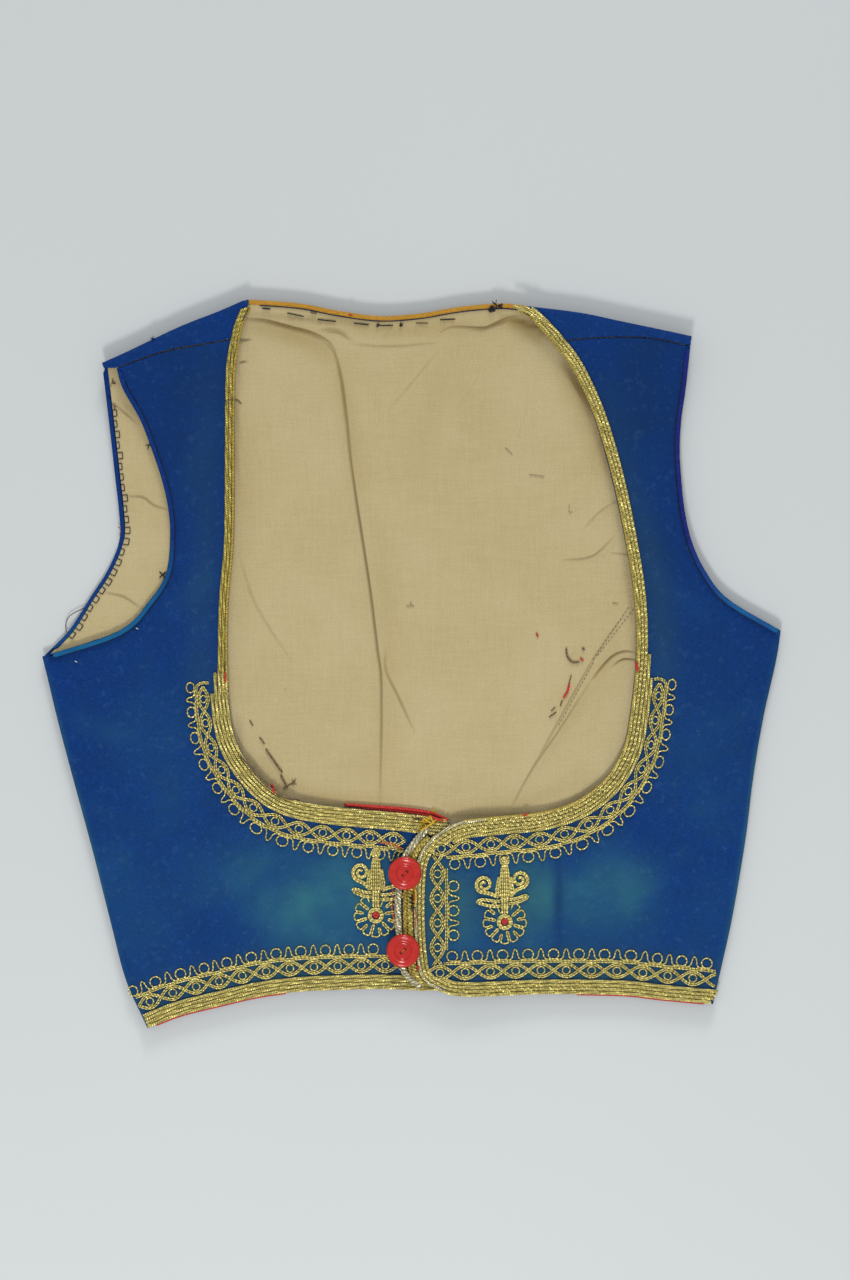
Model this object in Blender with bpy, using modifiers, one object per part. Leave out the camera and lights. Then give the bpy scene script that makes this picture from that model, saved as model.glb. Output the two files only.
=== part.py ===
"""A folk waistcoat of blue wool with gold cord borders, laid flat with its front up.

+Z is up from the surface, +Y points from the hem to the neck, and +X is the
wearer's left. The origin lies under the middle of the garment, on the surface.
Plan tables are in millimetres and the model itself is in metres.
"""
import math

import bmesh
import bpy
from mathutils import Vector
from mathutils.bvhtree import BVHTree

MM = 0.001
GAP = 0.3
WELD = 0.01
RAY_HEIGHT = 1000.0
CURVE_STEPS = 10
PART_STEPS = 60

# Cloth: walls, and the heights at which the layers lie on each other.
WOOL = 1.5
COTTON = 1.0
LINING_BASE = WOOL + GAP
FRONT_TOP = 5.0
SEAM_BACK = 2.9
SEAM_FRONT = SEAM_BACK + GAP
SIDE_PUFF = 1.0
SIDE_PUFF_REACH = 0.12
SIDE_PUFF_FADE = 0.06
ROLL = 3.0
TANGENT_STEP = 0.012

# The top edge stands up where the cloth folds over at the shoulders.
TOP_REACH = 60.0
BACK_RISE = 5.0
FRONT_RISE = 7.0
FOLD = 3.5

# Rows of the fold at the shoulders. Columns: angle round it, share of the way from it
# to the shoulder seam.
FOLD_ROWS = [(-45, None), (0, None), (45, None), (90, None), (None, 0.5), (None, 1.0)]
SEAM_LIFT = 0.4

# The wearer's left front laps over the right one and lies higher there.
LAP_RISE = 3.2
LAP_FULL = 24.0
LAP_END = 90.0

# Trim: heights above the cloth and widths along it.
TRIM = 1.0
BRAID_STRAP = 7.5
BRAID_NECK = 10.8
BRAID_HEM = 9.0
BRAID_FRONT = 6.8
FRONT_CHAIN = 8.6
BRAID_EDGE = 0.3
BRAID_HEM_START = 0.02
BRAID_RIBS = 3
RIB_SIDE = 0.12
RIB_FLOOR = 0.72
OVERHANG = 4.0

# Distance between the cross-sections of each braid.
NECK_STEP = 10.0
HEM_STEP = 13.0
EDGE_STEP = 9.5
ARMHOLE_STEP = 14.0

# The left braid stops this many chords of its edge short of the side seam.
EDGE_SPARE = 3

BINDING = 3.2
BINDING_SPAN = (0.015, 0.985, 20)
ARMHOLE_BINDING = 3.6

# Buttons: turned discs on a thread shank.
BUTTON_RADIUS = 10.0
BUTTON_BASE = 9.9
BUTTON_HEIGHT = 3.6
SHANK_RADIUS = 1.2
EYELET_RADIUS = 0.8
EYELET_SPACING = 3.0
EYELET_DEPTH = 1.6
EYELET_SIDES = 8
BUTTON_STEPS = 16

# Columns: shares of the button's radius and of its height.
BUTTON_PROFILE = [(0.0, 0.62), (0.46, 0.62), (0.6, 0.95), (0.8, 1.0), (0.96, 0.66), (1.0, 0.4),
                  (0.9, 0.0)]
BUTTON_MIDDLE = 0.62

# Columns: name, centre x, y.
BUTTONS = [("button_upper", -3.9, -124.8), ("button_lower", -5.0, -171.0)]

# Plan curves, columns: x, y.
RIGHT_FRONT = {
    "neck": [(-102.5, 194.5), (-105.5, 173), (-106, 128), (-106.5, 74), (-109.5, 38),
             (-110, 0), (-108, -33), (-102, -52), (-88.5, -70), (-73, -80), (-49, -85),
             (-7, -89), (17, -92)],
    "shoulder": [(-102.5, 194.5), (-126, 190.5), (-148.5, 186), (-176, 176.5)],
    "armhole": [(-176, 176.5), (-172.5, 164.5), (-162.5, 146.5), (-155.5, 128.5),
                (-149.5, 110.5), (-145.5, 92.5), (-144.5, 74.5), (-147, 54), (-156.5, 38.5),
                (-175, 20), (-221, 4.5)],
    "side": [(-221, 4.5), (-212, -33.5), (-202.5, -69.5), (-191.5, -110), (-180.5, -153.5),
             (-171, -189.5), (-158, -218)],
    "hem": [(-158, -218), (-139, -210.5), (-115, -204.5), (-91, -199), (-67, -196),
            (-43, -195), (-19, -194.5), (17, -195.5)],
    "edge": [(17, -92), (17, -143), (17, -195.5)],
}
LEFT_FRONT = {
    "neck": [(84.5, 192), (95, 178.5), (105, 159), (112.5, 139), (120.5, 110.5), (128, 74.5),
             (133.5, 38.5), (134.5, 2.5), (130.5, -33.5), (126, -52), (115, -70), (98, -83),
             (77, -90), (53, -92.5), (27, -95.5), (12.5, -103)],
    "shoulder": [(84.5, 192), (110, 194.5), (140, 194.5), (166.5, 189.5)],
    "armhole": [(166.5, 189.5), (164, 164.5), (161.5, 146.5), (160.5, 128.5), (161.5, 110.5),
                (163.5, 92.5), (167.5, 74.5), (175.5, 56.5), (189.5, 39), (221, 20)],
    "side": [(221, 20), (218.5, 2.5), (210.5, -33.5), (204.5, -69.5), (200, -105.5),
             (192.5, -150), (186, -180), (180.5, -203.5)],
    "hem": [(180.5, -203.5), (149, -200.5), (125, -198), (77, -197.5), (29, -198.5),
            (10, -192)],
    "edge": [(12.5, -103), (5, -113), (2, -126.5), (1.5, -155), (4, -182.5), (10, -192)],
}
BACK = {
    "fold_right": [(-185, 180), (-169.5, 187), (-139, 201.5), (-115, 211), (-99, 218)],
    "neck": [(-99, 218), (-67, 215.5), (-43, 211), (-19, 208), (5, 209.5), (29, 213.5),
             (53, 215.5), (69, 214)],
    "fold_left": [(69, 214), (101, 210), (125, 205), (149, 200), (167.5, 196)],
    "armhole_right": [(-220, 5), (-205, 20.5), (-193.5, 38.5), (-182, 56.5), (-175, 74.5),
                      (-175.5, 92.5), (-177.5, 110.5), (-181.5, 146.5), (-185, 178)],
    "armhole_left": [(221, 19), (188, 37), (174, 56), (165.5, 74.5), (161.5, 92.5),
                     (159.5, 110.5), (158.5, 128.5), (162, 164.5), (167.5, 194)],
}

# Where the boundary's corners fall along each front, and which share of the neck
# curve lies opposite them.
FRONT_SPANS = {"armhole": (0.0, 0.40), "side": (0.40, 0.66), "hem": (0.66, 1.0)}
RIGHT_NECK_SHARE = [(0.0, 0.0), (0.40, 0.49), (0.66, 0.69), (1.0, 1.0)]
LEFT_NECK_SHARE = [(0.0, 0.0), (0.40, 0.40), (0.66, 0.62), (1.0, 1.0)]
FRONT_ROWS = {"armhole": 12, "hem": 9}
FRONT_COLUMNS = 6

# Rows along a side seam, from the underarm. Columns: share of the side, and how far
# the front's and the back's edges are rolled into the seam there.
SIDE_ROWS = [(0.0, 0.0, 0.0), (0.05, 1.0, 0.4), (0.12, 1.0, 1.0), (0.28, 1.0, 1.0),
             (0.44, 1.0, 1.0), (0.60, 1.0, 1.0), (0.76, 1.0, 1.0), (0.88, 1.0, 1.0),
             (0.95, 1.0, 0.4), (1.0, 0.0, 0.0)]
SEAM_GAP = 0.8

# Back: shares of its width taken by the shoulders, and of its height by the sides.
NECK_SPAN = (0.25, 0.72)
UNDERARM = 0.52
BACK_ARMHOLE_ROWS = 9
BACK_COLUMNS = [(NECK_SPAN[0], 4), (NECK_SPAN[1], 6), (1.0, 4)]

# Edge columns of a panel. Columns: share of the roll's reach when the edge is flat,
# then the reach and the height reached when it is rolled into the side seam.
ROLL_COLUMNS = [(0.0, 0.0, 0.0), (0.3, 0.0, 0.3), (0.65, 0.35, 0.8), (1.0, 1.0, 1.0)]

# Lift of the neck edges off the lining. Columns: share along the front, lift.
RIGHT_NECK_LIFT = [(0.0, 0.4), (0.3, 0.8), (0.6, 2.0), (0.8, 1.2), (1.0, 0.0)]
LEFT_NECK_LIFT = [(0.0, 0.4), (0.2, 2.6), (0.45, 1.8), (0.65, 2.2), (0.85, 1.0), (1.0, 0.0)]
NECK_LIFT_REACH = 0.35

# Main creases of the lining. Columns: start x, y, end x, y, height, half-width.
CREASES = [
    (-66, 200, -46, 150, 0.9, 14),
    (-44, 160, -38, 90, 1.1, 13),
    (-38, 95, -20, -20, 1.1, 14),
    (-20, 5, -20, -72, 0.9, 13),
    (-14, 5, 2, -50, 0.6, 12),
    (130, 8, 86, -42, 0.9, 13),
    (92, -34, 60, -78, 0.8, 12),
    (92, 168, 50, 112, 0.9, 22),
    (58, 196, 70, 130, 0.7, 18),
    (-60, 80, -92, 20, 0.5, 24),
    (20, 120, 64, 30, 0.5, 26),
]
LINING_ROWS = 16
LINING_COLUMNS = 15
LINING_HEM = 7.0
LINING_NECK = 2.2

# How far the lining stops short of the back's edges. Columns: share up, distance.
LINING_INSETS = [(0.0, 4.6), (0.48, 5.0), (0.56, 12.0), (0.70, 11.0), (0.8, 5.0), (1.0, 5.0)]

# Motif, columns: x, y from the flower's centre, on the wearer's left half.
SCROLL_HALF = [(2.2, 5.6), (2.2, 11.2), (7, 11.4), (12.6, 11.6), (15, 13.4), (13, 16),
               (11.5, 18.6)]
SCROLL_CENTRE = (11.0, 24.0)
SCROLL_RADIUS = 4.8
SCROLL_HOLE = 1.6
SCROLL_HOLE_SIDES = 5
SCROLL_ARC = (-62, 205, 8)
STEM_SHOULDER = (4.9, 19.6)
STEM_TOP_WIDTH = 3.6

# Rosette: petals round a ring, all but the stem's angle. Columns: distance from the
# middle, share of a petal's angle to its side.
PETALS = 11
STEM_ANGLE = 44
CENTRE_HOLE = 2.6
CENTRE_RING = 5.0
CENTRE_SIDES = 10
PETAL_OUTLINE = [(10.4, -0.5), (13.0, -0.24), (13.0, 0.24)]
PETAL_HOLE = [(7.0, 0.0), (11.2, -0.2), (11.2, 0.2)]

# Columns: side, flower's centre x, y, height of the stem's top above it.
MOTIFS = [("right", -21.3, -150.4, 31.8), ("left", 55.6, -154.5, 30.2)]

# Border of cords beside the braids: an eye chain, a rail, then rings and peaks. Lengths
# run along the border from the start of an eye, heights away from the braid.
PITCH = 15.0
BAND_CLEAR = 0.5
EYE_HEIGHT = 5.0
EYE_CROSSING = 2.3
EYE_UNDERSIDE = [(-3.6, 0.5), (3.6, 0.5)]
EYE_HOLE = [(-2.9, 0.0), (0.0, -1.7), (2.9, 0.0), (0.0, 1.7)]
RAIL_TOP = 11.2
RING_HEIGHT = 14.6
RING_RADIUS = 3.6
RING_HOLE = 1.9
RING_FOOT = 128
RING_OUTER_POINTS = 4
RING_INNER_POINTS = 3
SHARE_STEP = 0.004
PEAK = [(2.9, 11.2), (1.2, 17.8), (-1.2, 17.8), (-2.9, 11.2)]
EDGE_RUN = 3.4

# Outline of an eye's end where the border turns a corner, from the eye's middle.
BARE_END = [(-1.4, 1.7), (2.0, 3.4), (3.4, 6.4), (3.4, 10.6)]
BARE_HOLE = 0.7

# The borders are narrower beside the neck's sides. Columns: share along, scale.
EVEN = [(0.0, 1.0), (1.0, 1.0)]
NARROW_RIGHT = [(0.0, 1.0), (0.4, 1.0), (0.65, 0.84), (1.0, 0.76)]
NARROW_LEFT = [(0.0, 0.74), (0.3, 0.8), (0.6, 1.0), (1.0, 1.0)]

# Columns: name, width of the braid beside it, start, end, eyes, which ends turn a
# corner, scales.
BORDERS = [
    ("neck_right", BRAID_NECK, (-4.5, -109), (-127, -14), 12, (0, 0), NARROW_RIGHT),
    ("hem_right", BRAID_HEM, (-160, -203), (-8.5, -181), 10, (0, 1), EVEN),
    ("neck_left", BRAID_NECK, (152, -12), (10.8, -112), 13, (0, 1), NARROW_LEFT),
    ("front_left", FRONT_CHAIN, (15, -120), (15, -175), 4, (1, 1), EVEN),
    ("hem_left", BRAID_HEM, (12.5, -184), (176, -190), 11, (1, 0), EVEN),
]

# Lines that carry on past a front's corner, or stand in for its curved edge.
NECK_RUN_OUT = (-20, -97)
HEM_RUN_OUT = (-20, -199.5)
FRONT_LINE = [(1.5, -90), (1.5, -210)]

# Braid widths along the edge. Columns: share of the edge's length, width.
NECK_WIDTHS_RIGHT = [(0.0, BRAID_NECK), (0.42, BRAID_NECK), (0.45, BRAID_STRAP),
                     (1.0, BRAID_STRAP)]
EDGE_WIDTHS_LEFT = [(0.0, BRAID_STRAP), (0.31, BRAID_STRAP), (0.35, BRAID_NECK),
                    (0.58, BRAID_NECK), (0.62, BRAID_FRONT), (0.74, BRAID_FRONT),
                    (0.79, BRAID_HEM), (1.0, BRAID_HEM)]
HEM_WIDTHS = [(0.0, BRAID_HEM), (1.0, BRAID_HEM)]
BINDING_WIDTHS = [(0.0, ARMHOLE_BINDING), (1.0, ARMHOLE_BINDING)]

# Where the neck braids go on over the shoulders, as shares of the way to the back.
OVER_SHOULDER_RIGHT = (0.25, 0.5, 0.62)
OVER_SHOULDER_LEFT = (0.56, 0.38, 0.12)

# Two cords outside the lapping edge; the outer one loops round the buttons' shanks.
# Offsets have the columns: share along the edge, distance outside it.
SILVER_OFFSETS = [(0.0, 4.9), (0.2, 8.6), (0.35, 10.2), (0.65, 10.6), (0.8, 9.4), (1.0, 4.9)]
GOLD_OFFSETS = [(0.0, 1.9), (1.0, 1.9)]
LOOP_UNDERSIDE = 6.8
LOOP_STEPS = 12
SILVER_RADIUS = 1.4
GOLD_RADIUS = 1.2

# Red piping under the hem: it shows at the sides and is hidden in the middle.
PIPING_RADIUS = 0.7
PIPING_Z = 2.6
PIPING_SPAN = (0.03, 0.97, 14)
PIPING_SHOWS = 90.0
PIPING_OUT = 0.4
PIPING_IN = 1.0

# Rolled armhole edges. Columns: panel, its curve, whether that is read backwards, and
# the first and last share of it.
ARMHOLES = [
    ("front_right", RIGHT_FRONT["armhole"], False, 0.01, 0.97),
    ("front_left", LEFT_FRONT["armhole"], True, 0.03, 0.99),
    ("back_right", BACK["armhole_right"], True, 0.1, 0.96),
    ("back_left", BACK["armhole_left"], False, 0.04, 0.9),
]

# Columns: name, colour, roughness, metallic.
FINISHES = [
    ("blue_wool", (0.008, 0.05, 0.22), 0.9, 0.0),
    ("cream_cotton", (0.58, 0.5, 0.3), 0.9, 0.0),
    ("gold_thread", (0.42, 0.31, 0.09), 0.45, 0.7),
    ("ochre_cord", (0.55, 0.31, 0.03), 0.7, 0.0),
    ("red_thread", (0.6, 0.03, 0.03), 0.7, 0.0),
    ("red_plastic", (0.55, 0.03, 0.04), 0.3, 0.0),
    ("silver_thread", (0.5, 0.48, 0.38), 0.4, 0.8),
]


def clear_scene():
    for item in list(bpy.data.objects):
        bpy.data.objects.remove(item, do_unlink=True)


def new_collection(name):
    collection = bpy.data.collections.new(name)
    bpy.context.scene.collection.children.link(collection)
    return collection


def material(name, colour, roughness, metallic):
    made = bpy.data.materials.new(name)
    made.use_nodes = True
    shader = made.node_tree.nodes["Principled BSDF"]
    shader.inputs["Base Color"].default_value = (*colour, 1.0)
    shader.inputs["Roughness"].default_value = roughness
    shader.inputs["Metallic"].default_value = metallic
    return made


# Curves in plan

def smooth(points, steps=CURVE_STEPS):
    """A Catmull-Rom curve through the points, as many short chords."""
    rows = [Vector(p) for p in points]
    rows = [2 * rows[0] - rows[1]] + rows + [2 * rows[-1] - rows[-2]]
    made = [rows[1]]
    for a, b, c, d in zip(rows, rows[1:], rows[2:], rows[3:]):
        for step in range(1, steps + 1):
            t = step / steps
            made.append(0.5 * (2 * b + (c - a) * t + (2 * a - 5 * b + 4 * c - d) * t * t
                               + (3 * b - a - 3 * c + d) * t ** 3))
    return made


def length(curve):
    return sum((b - a).length for a, b in zip(curve, curve[1:]))


def at(curve, share):
    """The point at this share of the curve's length."""
    left = min(max(share, 0.0), 1.0) * length(curve)
    for a, b in zip(curve, curve[1:]):
        run = (b - a).length
        if left <= run:
            return a.lerp(b, left / run if run else 0.0)
        left -= run
    return curve[-1].copy()


def resample(curve, count):
    return [at(curve, i / count) for i in range(count + 1)]


def sideways(curve, offset):
    """The curve moved to its left by the offset."""
    made = []
    for i, point in enumerate(curve):
        run = curve[min(i + 1, len(curve) - 1)] - curve[max(i - 1, 0)]
        made.append(point + Vector((-run.y, run.x)).normalized() * offset)
    return made


def between(table, x):
    """The second column of a table, read off in straight runs."""
    for (x0, y0), (x1, y1) in zip(table, table[1:]):
        if x <= x1:
            return y0 + (y1 - y0) * max(0.0, (x - x0) / (x1 - x0))
    return table[-1][1]


def part_of(curve, first, last, count=PART_STEPS):
    return [at(curve, first + (last - first) * i / count) for i in range(count + 1)]


def stops(rows):
    """Shares from 0 to 1, evenly spaced within each span of (end, count)."""
    made, start = [0.0], 0.0
    for end, count in rows:
        made += [start + (end - start) * i / count for i in range(1, count + 1)]
        start = end
    return made


# Heights

TOP_LINE = [tuple(p) for p in smooth(BACK["fold_right"]) + smooth(BACK["neck"])[1:]
            + smooth(BACK["fold_left"])[1:]]


def near_top(x, y):
    """1 at the garment's top edge, falling to 0 some way below it."""
    below = between(TOP_LINE, x) - y
    return max(0.0, 1.0 - max(0.0, below) / TOP_REACH) ** 2


def back_height(x, y):
    return BACK_RISE * near_top(x, y)


def front_height(x, y, lapped=False):
    lap = 0.0
    if lapped:
        share = min(max((LAP_END - x) / (LAP_END - LAP_FULL), 0.0), 1.0)
        lap = LAP_RISE * share * share * (3 - 2 * share)
    return FRONT_TOP + FRONT_RISE * near_top(x, y) + lap


def crease_height(x, y):
    """The lining's creases: soft ridges that die out at both ends."""
    high = 0.0
    for x0, y0, x1, y1, height, width in CREASES:
        run = Vector((x1 - x0, y1 - y0))
        away = Vector((x - x0, y - y0))
        share = away.dot(run) / run.length_squared
        if not 0.0 < share < 1.0:
            continue
        aside = (away - run * share).length / width
        high = max(high, height * math.sin(math.pi * share) ** 0.5 * math.exp(-aside * aside))
    return high


# Meshes

def grid_mesh(columns, rows, place, spare=None):
    """A grid whose point (column, row) is put where place says, in millimetres, without
    the cells that are spare."""
    made = bmesh.new()
    bmesh.ops.create_grid(made, x_segments=columns, y_segments=rows, size=0.5)
    if spare:
        cells = []
        for face in made.faces:
            middle = face.calc_center_median()
            if spare(int((middle.x + 0.5) * columns), int((middle.y + 0.5) * rows)):
                cells.append(face)
        bmesh.ops.delete(made, geom=cells, context="FACES")
    for vertex in made.verts:
        column = round((vertex.co.x + 0.5) * columns)
        row = round((vertex.co.y + 0.5) * rows)
        vertex.co = Vector(place(column, row)) * MM
    return made


def put(made, name, collection, finish):
    mesh = bpy.data.meshes.new(name)
    made.to_mesh(mesh)
    made.free()
    mesh.materials.append(finish)
    item = bpy.data.objects.new(name, mesh)
    collection.objects.link(item)
    return item


def thicken(item, wall):
    """A wall behind the surface's faces."""
    solidify = item.modifiers.new("wall", "SOLIDIFY")
    solidify.thickness = wall * MM
    solidify.offset = -1.0
    return item


def upward(made):
    """True where the sheet's faces look up."""
    return sum(face.normal.z * face.calc_area() for face in made.faces) > 0


def face_sheet(made, up):
    made.normal_update()
    if upward(made) != up:
        bmesh.ops.reverse_faces(made, faces=made.faces)


def coons(inner, outer, start, end, u, v):
    """A point of the patch between four curves: inner and outer run along v, start and
    end along u."""
    corner = (1 - u) * (1 - v) * inner(0) + u * (1 - v) * outer(0)
    corner += (1 - u) * v * inner(1) + u * v * outer(1)
    sides = (1 - u) * inner(v) + u * outer(v) + (1 - v) * start(u) + v * end(u)
    return sides - corner


def fade(v, first, last, run):
    """1 inside the span, falling to 0 over the run at its ends."""
    share = min((v - first) / run, (last - v) / run, 1.0)
    share = max(share, 0.0)
    return share * share * (3 - 2 * share)


def front_rows():
    """Rows of a front from the shoulder, as (share, how far its edge is rolled)."""
    first, last = FRONT_SPANS["side"]
    count = FRONT_ROWS["armhole"]
    made = [(first * i / count, 0.0) for i in range(count)]
    made += [(first + (last - first) * share, front) for share, front, _ in SIDE_ROWS]
    count = FRONT_ROWS["hem"]
    return made + [(last + (1 - last) * i / count, 0.0) for i in range(1, count + 1)]


def back_rows():
    """Rows of the back from the hem, as (share, how far its edges are rolled)."""
    made = [(UNDERARM * (1 - share), back) for share, _, back in reversed(SIDE_ROWS)]
    count = BACK_ARMHOLE_ROWS
    return made + [(UNDERARM + (1 - UNDERARM) * i / count, 0.0) for i in range(1, count + 1)]


def front_panel(name, plan, shares, lifts, hand, collection, finish):
    """One front. hand is 1 on the wearer's right and -1 on the left, which laps over."""
    lapped = hand < 0
    curves = {key: smooth(points) for key, points in plan.items()}
    rows = front_rows()
    flats = [i / FRONT_COLUMNS for i in range(FRONT_COLUMNS)]

    def inner(v):
        return at(curves["neck"], between(shares, v))

    def outer(v):
        for key, (first, last) in FRONT_SPANS.items():
            if v <= last:
                return at(curves[key], (v - first) / (last - first))
        return curves["hem"][-1]

    def start(u):
        return at(curves["shoulder"], u)

    def end(u):
        return at(curves["edge"], u)

    def inward(v):
        """Away from the outer curve, into the cloth."""
        after, before = min(v + TANGENT_STEP, 1.0), max(v - TANGENT_STEP, 0.0)
        run = (outer(after) - outer(before)).normalized()
        return Vector((-run.y, run.x)) * hand

    def place(column, row):
        v, rolled = rows[row]
        first, last = FRONT_SPANS["side"]
        reach = ROLL / (outer(v) - inner(v)).length
        drop = 0.0
        if column < FRONT_COLUMNS:
            u = flats[column] * (1 - reach)
            point = coons(inner, outer, start, end, u, v)
        else:
            flat, rounded, height = ROLL_COLUMNS[FRONT_COLUMNS - column - 1]
            from_edge = flat + (rounded - flat) * rolled
            u = 1 - reach * from_edge
            drop = (1 - height) * rolled
            point = outer(v) + inward(v) * ROLL * from_edge
            if row in (0, len(rows) - 1):
                point = coons(inner, outer, start, end, u, v)
        high = front_height(point.x, point.y, lapped)
        near_neck = max(0.0, 1 - u / NECK_LIFT_REACH)
        high += between(lifts, v) * near_neck * near_neck
        near_side = max(0.0, 1 - (1 - u) / SIDE_PUFF_REACH)
        high += SIDE_PUFF * near_side * fade(v, first, last, SIDE_PUFF_FADE)
        high += (SEAM_FRONT - high) * drop
        return point.x, point.y, high

    made = grid_mesh(FRONT_COLUMNS + len(ROLL_COLUMNS) - 1, len(rows) - 1, place)
    face_sheet(made, up=True)
    return thicken(put(made, name, collection, finish), WOOL)


def back_top():
    """The back's upper edge, one fold radius inside the garment's outline."""
    first, last = NECK_SPAN
    spans = [(0.0, first, "fold_right"), (first, last, "neck"), (last, 1.0, "fold_left")]
    curves = [(first, last, smooth(BACK[key])) for first, last, key in spans]
    inset = [(first, last, sideways(curve, -FOLD)) for first, last, curve in curves]

    def read(rows, u):
        for first, last, curve in rows:
            if u <= last:
                return at(curve, (u - first) / (last - first))
        return rows[-1][2][-1]

    return (lambda u: read(curves, u)), (lambda u: read(inset, u))


def back_curves():
    outline, top = back_top()
    right_side = smooth(RIGHT_FRONT["side"])[::-1]
    left_side = smooth(LEFT_FRONT["side"])[::-1]
    right_hole = smooth(BACK["armhole_right"])
    left_hole = smooth(BACK["armhole_left"])
    hem = smooth(RIGHT_FRONT["hem"][:-1] + LEFT_FRONT["hem"][-2::-1])

    def side(low, high, v):
        if v <= UNDERARM:
            return at(low, v / UNDERARM)
        return at(high, (v - UNDERARM) / (1 - UNDERARM))

    def right(v):
        return side(right_side, right_hole, v) if v < 1 else top(0.0)

    def left(v):
        return side(left_side, left_hole, v) if v < 1 else top(1.0)

    def bottom(u):
        return at(hem, u)

    return right, left, bottom, top, outline


def back_panel(collection, finish):
    right, left, bottom, top, outline = back_curves()
    rows = back_rows()
    spread = stops(BACK_COLUMNS)
    seams = {0: smooth(RIGHT_FRONT["shoulder"])[::-1], 1: smooth(LEFT_FRONT["shoulder"])}
    extra = len(ROLL_COLUMNS) - 1
    columns = len(spread) - 1 + 2 * extra
    body_rows = len(rows) - 1

    def column_share(column, v, rolled):
        """The column's share across the back, and how far it rolls up there."""
        width = (left(v) - right(v)).length
        edge = min(column, columns - column)
        if edge <= extra:
            flat, reach, height = ROLL_COLUMNS[edge]
            u = ROLL / width * (flat + (reach - flat) * rolled)
            return (u if edge == column else 1 - u), (1 - height) * rolled
        return spread[column - extra], 0.0

    def fold_point(column, row):
        u, _ = column_share(column, 1.0, 0.0)
        outer, low = outline(u), top(u)
        on_right = u < 0.5
        share = u / NECK_SPAN[0] if on_right else (u - NECK_SPAN[1]) / (1 - NECK_SPAN[1])
        seam = at(seams[0 if on_right else 1], min(max(share, 0.0), 1.0))
        seam = seam + (outer - seam).normalized() * SEAM_GAP
        angle, along = FOLD_ROWS[row - body_rows - 1]
        bottom_z = back_height(low.x, low.y)
        top_z = front_height(low.x, low.y)
        if along is None:
            turn = math.radians(angle)
            point = low + (outer - low) * math.cos(turn)
            half = (top_z - bottom_z) / 2
            return point.x, point.y, bottom_z + half * (1 + math.sin(turn))
        point = low + (seam - low) * along
        return point.x, point.y, front_height(point.x, point.y) + SEAM_LIFT * along

    def place(column, row):
        if row > body_rows:
            return fold_point(column, row)
        v, rolled = rows[row]
        u, rolled = column_share(column, v, rolled)
        point = coons(right, left, bottom, top, u, v)
        return point.x, point.y, back_height(point.x, point.y) + SEAM_BACK * rolled

    first_neck = extra + BACK_COLUMNS[0][1]
    last_neck = first_neck + BACK_COLUMNS[1][1]

    def over_neck(column, row):
        return row >= body_rows and first_neck <= column < last_neck

    made = grid_mesh(columns, body_rows + len(FOLD_ROWS), place, over_neck)
    face_sheet(made, up=False)
    return thicken(put(made, "back", collection, finish), WOOL)


def lining_panel(collection, finish):
    """The cotton that lies on the back, a little smaller, with its creases."""
    right, left, bottom, top, _ = back_curves()

    def place(column, row):
        v = row / LINING_ROWS
        inset = between(LINING_INSETS, v) / (left(v) - right(v)).length
        u = inset + (1 - 2 * inset) * column / LINING_COLUMNS
        tall = (top(u) - bottom(u)).length
        up = (LINING_HEM + (tall - LINING_HEM - LINING_NECK) * v) / tall
        point = coons(right, left, bottom, top, u, up)
        high = back_height(point.x, point.y) + LINING_BASE + crease_height(point.x, point.y)
        return point.x, point.y, high

    made = grid_mesh(LINING_COLUMNS, LINING_ROWS, place)
    face_sheet(made, up=False)
    return thicken(put(made, "back_lining", collection, finish), COTTON)


# Trim that lies on the cloth

def surface_of(*items):
    """A function that gives the height of the highest of these objects at x, y."""
    bpy.context.view_layer.update()
    seen = bpy.context.evaluated_depsgraph_get()
    trees = []
    for item in items:
        made = bmesh.new()
        made.from_object(item, seen)
        trees.append(BVHTree.FromBMesh(made))
        made.free()

    def height(x, y):
        spot = Vector((x, y)) * MM
        found = []
        for tree in trees:
            hit = tree.ray_cast(Vector((*spot, RAY_HEIGHT * MM)), Vector((0, 0, -1)))[0]
            beside = hit or tree.find_nearest(Vector((*spot, (FRONT_TOP + FRONT_RISE) * MM)))[0]
            if hit or (beside.xy - spot).length < OVERHANG * MM:
                found.append(beside.z / MM)
        return max(found)

    return height


def loft(rings, name, collection, finish):
    """A closed body through rings of points, with flat ends."""
    made = bmesh.new()
    loops = [[made.verts.new(Vector(point) * MM) for point in ring] for ring in rings]
    count = len(rings[0])
    for low, high in zip(loops, loops[1:]):
        for i in range(count):
            j = (i + 1) % count
            made.faces.new((low[i], low[j], high[j], high[i]))
    made.faces.new(loops[0][::-1])
    made.faces.new(loops[-1])
    bmesh.ops.recalc_face_normals(made, faces=made.faces)
    if made.calc_volume(signed=True) < 0:
        bmesh.ops.reverse_faces(made, faces=made.faces)
    return put(made, name, collection, finish)


def ribbed(width, ribs):
    """Cross-section of a braid, columns: distance across, height. Its rows of cord are
    ridges, and it starts at the cloth's edge."""
    made = [(width, 0.0), (0.0, 0.0)]
    for rib in range(ribs):
        made.append((width * (rib + RIB_SIDE) / ribs, TRIM * RIB_FLOOR))
        made.append((width * (rib + 0.5) / ribs, TRIM))
    made.append((width * (1 - RIB_SIDE / ribs), TRIM * RIB_FLOOR))
    return made


def braid(name, edge, height, widths, ribs, step, collection, finish):
    """A braid sewn along a cloth edge, inside it. The edge runs with the cloth on its
    left, and widths give the braid's width along it."""
    edge = sideways(edge, BRAID_EDGE)
    count = max(3, round(length(edge) / step))
    route = resample(edge, count)
    rings = []
    for i, point in enumerate(route):
        run = (route[min(i + 1, count)] - route[max(i - 1, 0)]).normalized()
        inward = Vector((-run.y, run.x))
        ring = []
        for across, up in ribbed(between(widths, i / count), ribs):
            place = point + inward * across
            ring.append((place.x, place.y, height(place.x, place.y) + GAP + up))
        rings.append(ring)
    return loft(rings, name, collection, finish)


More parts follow.
